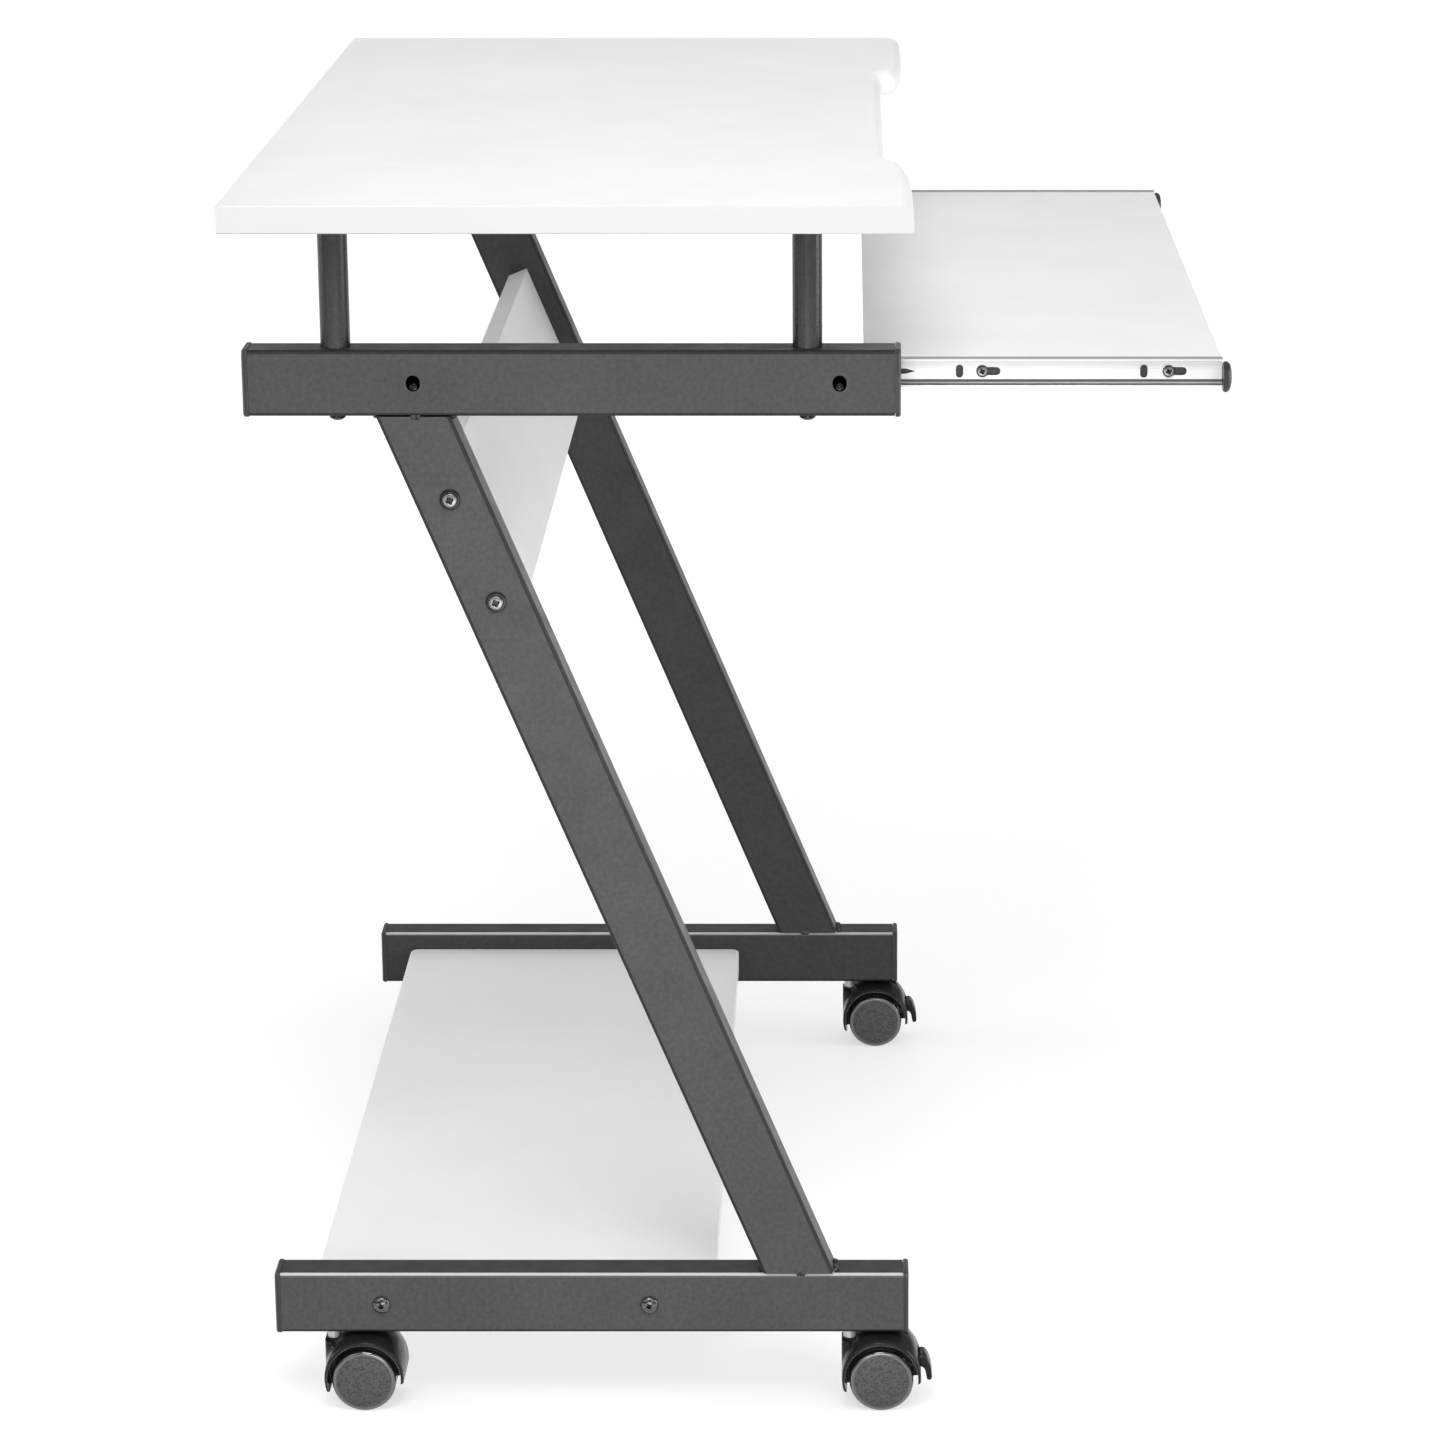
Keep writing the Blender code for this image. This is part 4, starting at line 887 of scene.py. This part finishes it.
def hood_wells(half, ahead, axle_z, wheel_inner):
    """Two wheel wells that leave the web, the hubs and the axle standing."""
    bm = bmesh.new()
    mouth = half + OVERSHOOT
    profile = (
        (0.0, AXLE_HALF, axle_z),
        (AXLE_RADIUS, AXLE_HALF, axle_z),
        (AXLE_RADIUS, wheel_inner - CLEARANCE, axle_z),
        (HUB_RADIUS, wheel_inner - CLEARANCE, axle_z),
        (HUB_RADIUS, WEB_HALF, axle_z),
        (CAVITY_RADIUS, WEB_HALF, HOOD_Z),
        (CAVITY_RADIUS, mouth, HOOD_Z),
        (0.0, mouth, HOOD_Z),
    )
    for _, side in SIDES:
        rings = []
        for radius, along, height in profile:
            ring = []
            for i in range(WHEEL_SIDES if radius else 1):
                angle = 2 * math.pi * (i + 0.5) / WHEEL_SIDES
                y = -(ahead - radius * math.cos(angle))
                ring.append(bm.verts.new((side * along, y, height + radius * math.sin(angle))))
            rings.append(ring)
        skin(bm, rings)
    return bm


def hood_sockets(braked, ahead):
    """Stem socket and, with a brake, the lever's pocket and the slot above it."""
    bm = bmesh.new()
    foot, mouth = SOCKET_FOOT_Z, BOSS_TOP_Z + OVERSHOOT
    socket = ((0.0, foot), (SOCKET_RADIUS, foot), (SOCKET_RADIUS, mouth), (0.0, mouth))
    lathe(bm, socket, SCREW_SIDES)
    if braked:
        room = LEVER_HALF + POCKET_SIDE_GAP
        block(
            bm,
            (-room, -LEVER_PIVOT_AHEAD - POCKET_AHEAD, LEVER_PIVOT_Z - POCKET_BELOW),
            (room, -LEVER_PIVOT_AHEAD + POCKET_BEHIND, LEVER_PIVOT_Z + POCKET_ABOVE),
        )
        add_slot(bm, ahead)
    return bm


def add_slot(bm, ahead):
    """Adds the shape of the short slot in the crown of a braked hood."""
    rings = []
    for x in (-SLOT_HALF, SLOT_HALF):
        ring = []
        for reach, angles in ((SLOT_FLOOR, SLOT_ANGLES), (SLOT_MOUTH, SLOT_ANGLES[::-1])):
            for angle in angles:
                spot = (x, -(ahead + reach * math.cos(angle)), HOOD_Z + reach * math.sin(angle))
                ring.append(bm.verts.new(spot))
        rings.append(ring)
    skin(bm, rings)


def build_hoods(plastic):
    """Finer hoods over the CAD ones, a plain one and a braked one, each used on both sides."""
    low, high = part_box("caster_hood_left_rear")
    half = (high.x - low.x) / 2
    stem_low, stem_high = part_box("caster_stem_left_rear")
    wheel_low, wheel_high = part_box("caster_wheel_left_rear_outer")
    ahead = (stem_low.y + stem_high.y - wheel_low.y - wheel_high.y) / 2
    axle_z = (wheel_low.z + wheel_high.z) / 2
    wheel_inner = (stem_low.x + stem_high.x) / 2 - wheel_high.x
    for end in ENDS:
        mesh = to_mesh(f"hood_{end}", hood_blank(half, ahead), [plastic])
        mesh = cut_mesh(mesh, hood_wells(half, ahead, axle_z, wheel_inner))
        mesh = cut_mesh(mesh, hood_sockets(end == "front", ahead))
        for side_name, _ in SIDES:
            where = f"{side_name}_{end}"
            low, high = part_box(f"caster_stem_{where}")
            at = ((low.x + high.x) / 2, (low.y + high.y) / 2, 0.0)
            shell = place(f"hood_shell_{where}", mesh, f"caster_{where}", at)
            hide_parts(f"caster_hood_{where}")


def wheel_profile(radius, width):
    """Wheel section from the bore out: hub face, grooved tread, rounded rim and domed face."""
    rim = width - WHEEL_DOME
    face = radius - WHEEL_RIM
    hub, hub_slope = 0.0068, 0.0004
    web, web_depth = 0.0160, 0.0008
    inner_round, outer_round = 0.0010, 0.0019
    groove, groove_half, groove_slope, groove_depth = 0.0069, 0.0001, 0.0002, 0.00012
    points = [(0.0, WHEEL_BORE_DEPTH), (WHEEL_BORE, WHEEL_BORE_DEPTH), (WHEEL_BORE, 0.0)]
    points += [(hub, 0.0), (hub + hub_slope, web_depth)]
    points += [(web, web_depth), (web + hub_slope, 0.0), (radius - inner_round, 0.0)]
    points += arc((radius - inner_round, inner_round), (inner_round, inner_round), -70, 0, 4)
    for side, depth in ((-1, 0.0), (-1, groove_depth), (1, groove_depth), (1, 0.0)):
        away = groove_half if depth else groove_half + groove_slope
        points.append((radius - depth, groove + side * away))
    points += arc((radius - outer_round, rim - outer_round), (outer_round, outer_round), 0, 90, 8)
    points += [(face + 0.0004, rim), (face + 0.0003, rim - 0.0003)]
    points += [(face, rim - 0.0003), (face - 0.0001, rim)]
    for i in range(1, WHEEL_DOME_STEPS):
        share = math.cos(math.pi / 2 * i / WHEEL_DOME_STEPS)
        bulge = WHEEL_DOME * math.sqrt(1 - share * share) ** 1.6
        points.append(((face - 0.0001) * share, rim + bulge))
    return points + [(0.0, width)]


def build_wheels(nylon, rim):
    """Finer wheels over the CAD ones, with a grained face and a smooth rim."""
    low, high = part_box("caster_wheel_left_rear_outer")
    radius = (high.z - low.z) / 2
    width = high.x - low.x
    bm = bmesh.new()
    lathe(bm, wheel_profile(radius, width), WHEEL_SIDES)
    mesh = to_mesh("wheel", bm, [nylon, rim])
    for face in mesh.polygons:
        from_axis = math.hypot(face.center.x, face.center.y)
        if face.center.z > width / 2 and from_axis > radius - WHEEL_RIM:
            face.material_index = 1
    for side_name, side in SIDES:
        for end in ENDS:
            for which, outward in (("outer", side), ("inner", -side)):
                where = f"{side_name}_{end}_{which}"
                low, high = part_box(f"caster_wheel_{where}")
                middle = (low + high) / 2
                at = (middle.x - outward * width / 2, middle.y, middle.z)
                name, body = f"wheel_disc_{where}", f"wheel_{where}"
                wheel = place(name, mesh, body, at, (outward, 0, 0))
                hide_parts(f"caster_wheel_{where}")


def smooth_loop(points, steps):
    """Closed Catmull-Rom curve through points."""
    result = []
    count = len(points)
    for i in range(count):
        a, b, c, d = (Vector(points[(i + k) % count]) for k in (-1, 0, 1, 2))
        for j in range(steps):
            t = j / steps
            square = (2 * a - 5 * b + 4 * c - d) * t**2
            cube = (3 * b - a - 3 * c + d) * t**3
            result.append(0.5 * (2 * b + (c - a) * t + square + cube))
    return result


def lever_mesh(plastic):
    """S-shaped brake lever about its pin, rounded on both sides."""
    curve = smooth_loop(LEVER_OUTLINE, LEVER_STEPS)
    bm = bmesh.new()
    rings = []
    for share, inset in LEVER_ROUNDING:
        ring = []
        for i, point in enumerate(curve):
            along = (curve[(i + 1) % len(curve)] - curve[i - 1]).normalized()
            spot = point + Vector((along.y, -along.x)) * inset
            ring.append(bm.verts.new((share * LEVER_HALF, -spot.x, spot.y)))
        rings.append(ring)
    skin(bm, rings)
    return to_mesh("lever", bm, [plastic])


def build_levers(plastic):
    """Finer brake levers over the CAD ones."""
    mesh = lever_mesh(plastic)
    for side_name, _ in SIDES:
        low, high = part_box(f"caster_stem_{side_name}_front")
        at = ((low.x + high.x) / 2, (low.y + high.y) / 2 - LEVER_PIVOT_AHEAD, LEVER_PIVOT_Z)
        lever = place(f"lever_paddle_{side_name}", mesh, f"brake_{side_name}", at)
        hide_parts(f"brake_lever_{side_name}")


# -------------------------------------------------------------- welds and slides


def weld_mesh(name, size, paint, rng):
    """Lumpy weld bead lying along local x, with the ripples of overlapping puddles."""
    length, width, height = size
    bm = bmesh.new()
    rings = []
    for i in range(WELD_STATIONS):
        t = -1 + 2 * i / (WELD_STATIONS - 1)
        x = t * length / 2
        swell = math.sqrt(max(0.0, 1 - abs(t) ** 5))
        wave = WELD_RIPPLE * math.cos(2 * math.pi * x / WELD_PITCH)
        lump = swell * (1 + wave + WELD_SCATTER * rng.uniform(-1, 1))
        if i in (0, WELD_STATIONS - 1):
            rings.append([bm.verts.new((x, 0.0, 0.0))])
            continue
        drift = WELD_DRIFT * width * rng.uniform(-1, 1)
        ring = []
        for j in range(WELD_SIDES):
            angle = 2 * math.pi * j / WELD_SIDES
            y = drift + width / 2 * lump * math.cos(angle)
            ring.append(bm.verts.new((x, y, height * lump * math.sin(angle))))
        rings.append(ring)
    skin(bm, rings)
    return to_mesh(name, bm, [paint])


def build_welds(paint):
    """Beads at the front and rear of each leg joint and a tack on its outer and inner faces."""
    rng = random.Random(SEED)
    for side_name, side in SIDES:
        leg_low, leg_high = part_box(f"leg_{side_name}")
        centre = (leg_low.x + leg_high.x) / 2
        face = side * ((leg_high.x - leg_low.x) / 2 - WELD_BURIED)
        depth = leg_high.y - leg_low.y - LEG_SLOPE * (leg_high.z - leg_low.z)
        for level, z, front, inward in (
            ("lower", leg_low.z, leg_low.y, 1),
            ("upper", leg_high.z, leg_high.y - depth, -1),
        ):
            bead_z = z + WELD_LIFT * inward
            spots = (
                ("front", "front", (centre, front - FRONT_BEAD_AHEAD, bead_z)),
                ("rear", "rear", (centre, front + depth + REAR_BEAD_BEHIND, bead_z)),
                ("outer", "tack", (centre + face, front + depth * OUTER_TACK_AT, z)),
                ("inner", "tack", (centre - face, front + depth * INNER_TACK_AT, z)),
            )
            for where, kind, at in spots:
                name = f"weld_{side_name}_{level}_{where}"
                mesh = weld_mesh(name, WELD_SIZES[kind], paint, rng)
                if kind == "tack":
                    mesh.transform(Matrix.Rotation(math.pi / 2, 4, "Z"))
                place(name, mesh, "frame", at)


def tray_screw_profile():
    """Section of a pan head with a stub below its seat."""
    head, stub, stub_depth = 0.0037, 0.0015, 0.0009
    points = [(0.0, -stub_depth), (stub, -stub_depth), (stub, 0.0), (head, 0.0)]
    points += arc((0.0021, 0.0002), (0.0016, 0.0015), 0, 75, 6)
    return points + [(0.0, 0.0018)]


def rail_bolt_profile():
    """Section of a small bolt that reaches through the rail to the slide."""
    head, shank, shank_length = 0.0030, 0.0017, 0.0225
    points = [(0.0, -shank_length), (shank, -shank_length), (shank, 0.0), (head, 0.0)]
    points += arc((0.0018, 0.0006), (0.0012, 0.0014), 0, 80, 6)
    return points + [(0.0, 0.0021)]


def build_slide_parts(steel, black, shade_strip_plastic):
    """Tray screws, the bolts in the rails' access slots and a dark strip behind the slide's slots, as
    painted shade seen through them.
    """
    pan = screw_mesh("slide_screw", tray_screw_profile(), TRAY_RECESS, [steel, black], TRAY_SHADE_RING_TOP)
    rod = screw_mesh("rail_bolt", rail_bolt_profile(), BOLT_RECESS, [black, black])
    for side_name, side in SIDES:
        low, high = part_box(f"tray_slide_moving_{side_name}")
        web = low.x + SLIDE_SHEET if side > 0 else high.x - SLIDE_SHEET
        z = (low.z + high.z) / 2
        for i, back in enumerate(KEYHOLE_BACK):
            at = (web, low.y + back, z)
            place(f"tray_screw_{side_name}_{i}", pan, "tray", at, (side, 0, 0))
        rail_low, rail_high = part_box(f"upper_rail_{side_name}")
        inside = (rail_high.x if side > 0 else rail_low.x) - side * BOLT_SEAT
        rail_y = (rail_low.y + rail_high.y) / 2
        rail_z = (rail_low.z + rail_high.z) / 2
        for i, ahead in enumerate(ACCESS_AHEAD):
            at = (inside, rail_y - ahead, rail_z - ACCESS_DROP)
            place(f"rail_bolt_{side_name}_{i}", rod, "frame", at, (side, 0, 0))
        # a dark plastic strip behind the web stands in as painted shade seen through the slots
        back_face = low.x if side > 0 else high.x
        inner, outer = sorted((back_face - side * SHADE_STRIP_FAR, back_face - side * SHADE_STRIP_NEAR))
        front, rear = SHADE_STRIP_ENDS
        bm = bmesh.new()
        block(
            bm,
            (inner, low.y + front, z - SHADE_STRIP_HALF),
            (outer, low.y + rear, z + SHADE_STRIP_HALF),
        )
        strip = to_mesh(f"slot_shade_strip_{side_name}", bm, [shade_strip_plastic])
        place(f"slot_shade_strip_{side_name}", strip, "tray", (0.0, 0.0, 0.0))


# -------------------------------------------------------------- stage and light


def backdrop_material():
    """Pale paper with hardly any texture, as bright as the floor far off."""
    graph = Graph("backdrop_paper")
    glow = graph.remap(graph.noise(0.3, 2.0), 0.3, 0.7, BACKDROP_GLOW - 0.01, BACKDROP_GLOW + 0.01)
    graph.surface(Emission_Color=(1.0, 1.0, 1.0), Emission_Strength=glow)
    return graph.surface(Base_Color=FLOOR_COLOUR, Roughness=0.9)


def build_backdrop():
    """Round pale wall that closes the view above the floor. It gives the desk no light."""
    bm = bmesh.new()
    rings = []
    for height in (0.0, BACKDROP_HEIGHT):
        ring = []
        for i in range(BACKDROP_SIDES):
            angle = 2 * math.pi * i / BACKDROP_SIDES
            spot = (BACKDROP_RADIUS * math.cos(angle), BACKDROP_RADIUS * math.sin(angle), height)
            ring.append(bm.verts.new(spot))
        rings.append(ring)
    for i in range(BACKDROP_SIDES):
        bm.faces.new((rings[0][i - 1], rings[0][i], rings[1][i], rings[1][i - 1]))
    wall = bpy.data.objects.new("backdrop", to_mesh("backdrop", bm, [backdrop_material()]))
    bpy.context.scene.collection.objects.link(wall)
    wall.visible_diffuse = False
    wall.visible_glossy = False
    wall.visible_shadow = False
    return wall


def build_stage():
    """Wide pale floor and the round wall behind it. The floor's glow gives the desk no light."""
    bm = bmesh.new()
    bmesh.ops.create_grid(bm, x_segments=1, y_segments=1, size=FLOOR_HALF)
    mesh = bpy.data.meshes.new("floor")
    bm.to_mesh(mesh)
    bm.free()
    mesh.materials.append(floor_material())
    floor = bpy.data.objects.new("floor", mesh)
    floor.location.z = CAD_LOW.z - 0.0002
    bpy.context.scene.collection.objects.link(floor)
    floor.visible_diffuse = False
    backdrop = build_backdrop()


def add_area(name, at, aim, size, power):
    """One rectangular soft light that aims at a point."""
    data = bpy.data.lights.new(name, "AREA")
    data.shape = "RECTANGLE"
    data.size, data.size_y = size
    data.energy = power
    item = bpy.data.objects.new(name, data)
    item.location = at
    item.rotation_mode = "QUATERNION"
    item.rotation_quaternion = (Vector(aim) - Vector(at)).to_track_quat("-Z", "Y")
    item.visible_camera = False
    bpy.context.scene.collection.objects.link(item)


def build_light():
    """White studio: an even sky and soft boxes on every side."""
    world = bpy.data.worlds.new("studio")
    world.use_nodes = True
    sky = world.node_tree.nodes["Background"]
    sky.inputs["Color"].default_value = (*SKY_COLOUR, 1.0)
    sky.inputs["Strength"].default_value = SKY_STRENGTH
    bpy.context.scene.world = world
    for name, at, aim, size, power in SOFT_BOXES:
        add_area(name, at, aim, size, power)


def build_camera():
    """Camera at the photograph's viewing angle."""
    data = bpy.data.cameras.new("camera")
    data.sensor_width = SENSOR_WIDTH
    data.lens = CAMERA_LENS
    data.shift_x = CAMERA_SHIFT_X
    data.clip_start = 0.05
    data.clip_end = 100.0
    camera = bpy.data.objects.new("camera", data)
    camera.location = CAMERA_AT
    forward = Vector((math.cos(CAMERA_TILT), 0.0, -math.sin(CAMERA_TILT)))
    camera.rotation_mode = "QUATERNION"
    camera.rotation_quaternion = forward.to_track_quat("-Z", "Y")
    bpy.context.scene.collection.objects.link(camera)
    bpy.context.scene.camera = camera
    bpy.context.scene.view_settings.view_transform = "Standard"


finish = make_finishes()
paint_nodes(finish)
build_board_screws(finish["steel"], finish["gunmetal"], finish["bolt"])
build_hoods(finish["hood"])
build_wheels(finish["wheel"], finish["rim"])
build_levers(finish["hood"])
build_welds(finish["weld"])
build_slide_parts(finish["steel"], finish["bolt"], finish["cap"])
build_stage()
build_light()
build_camera()
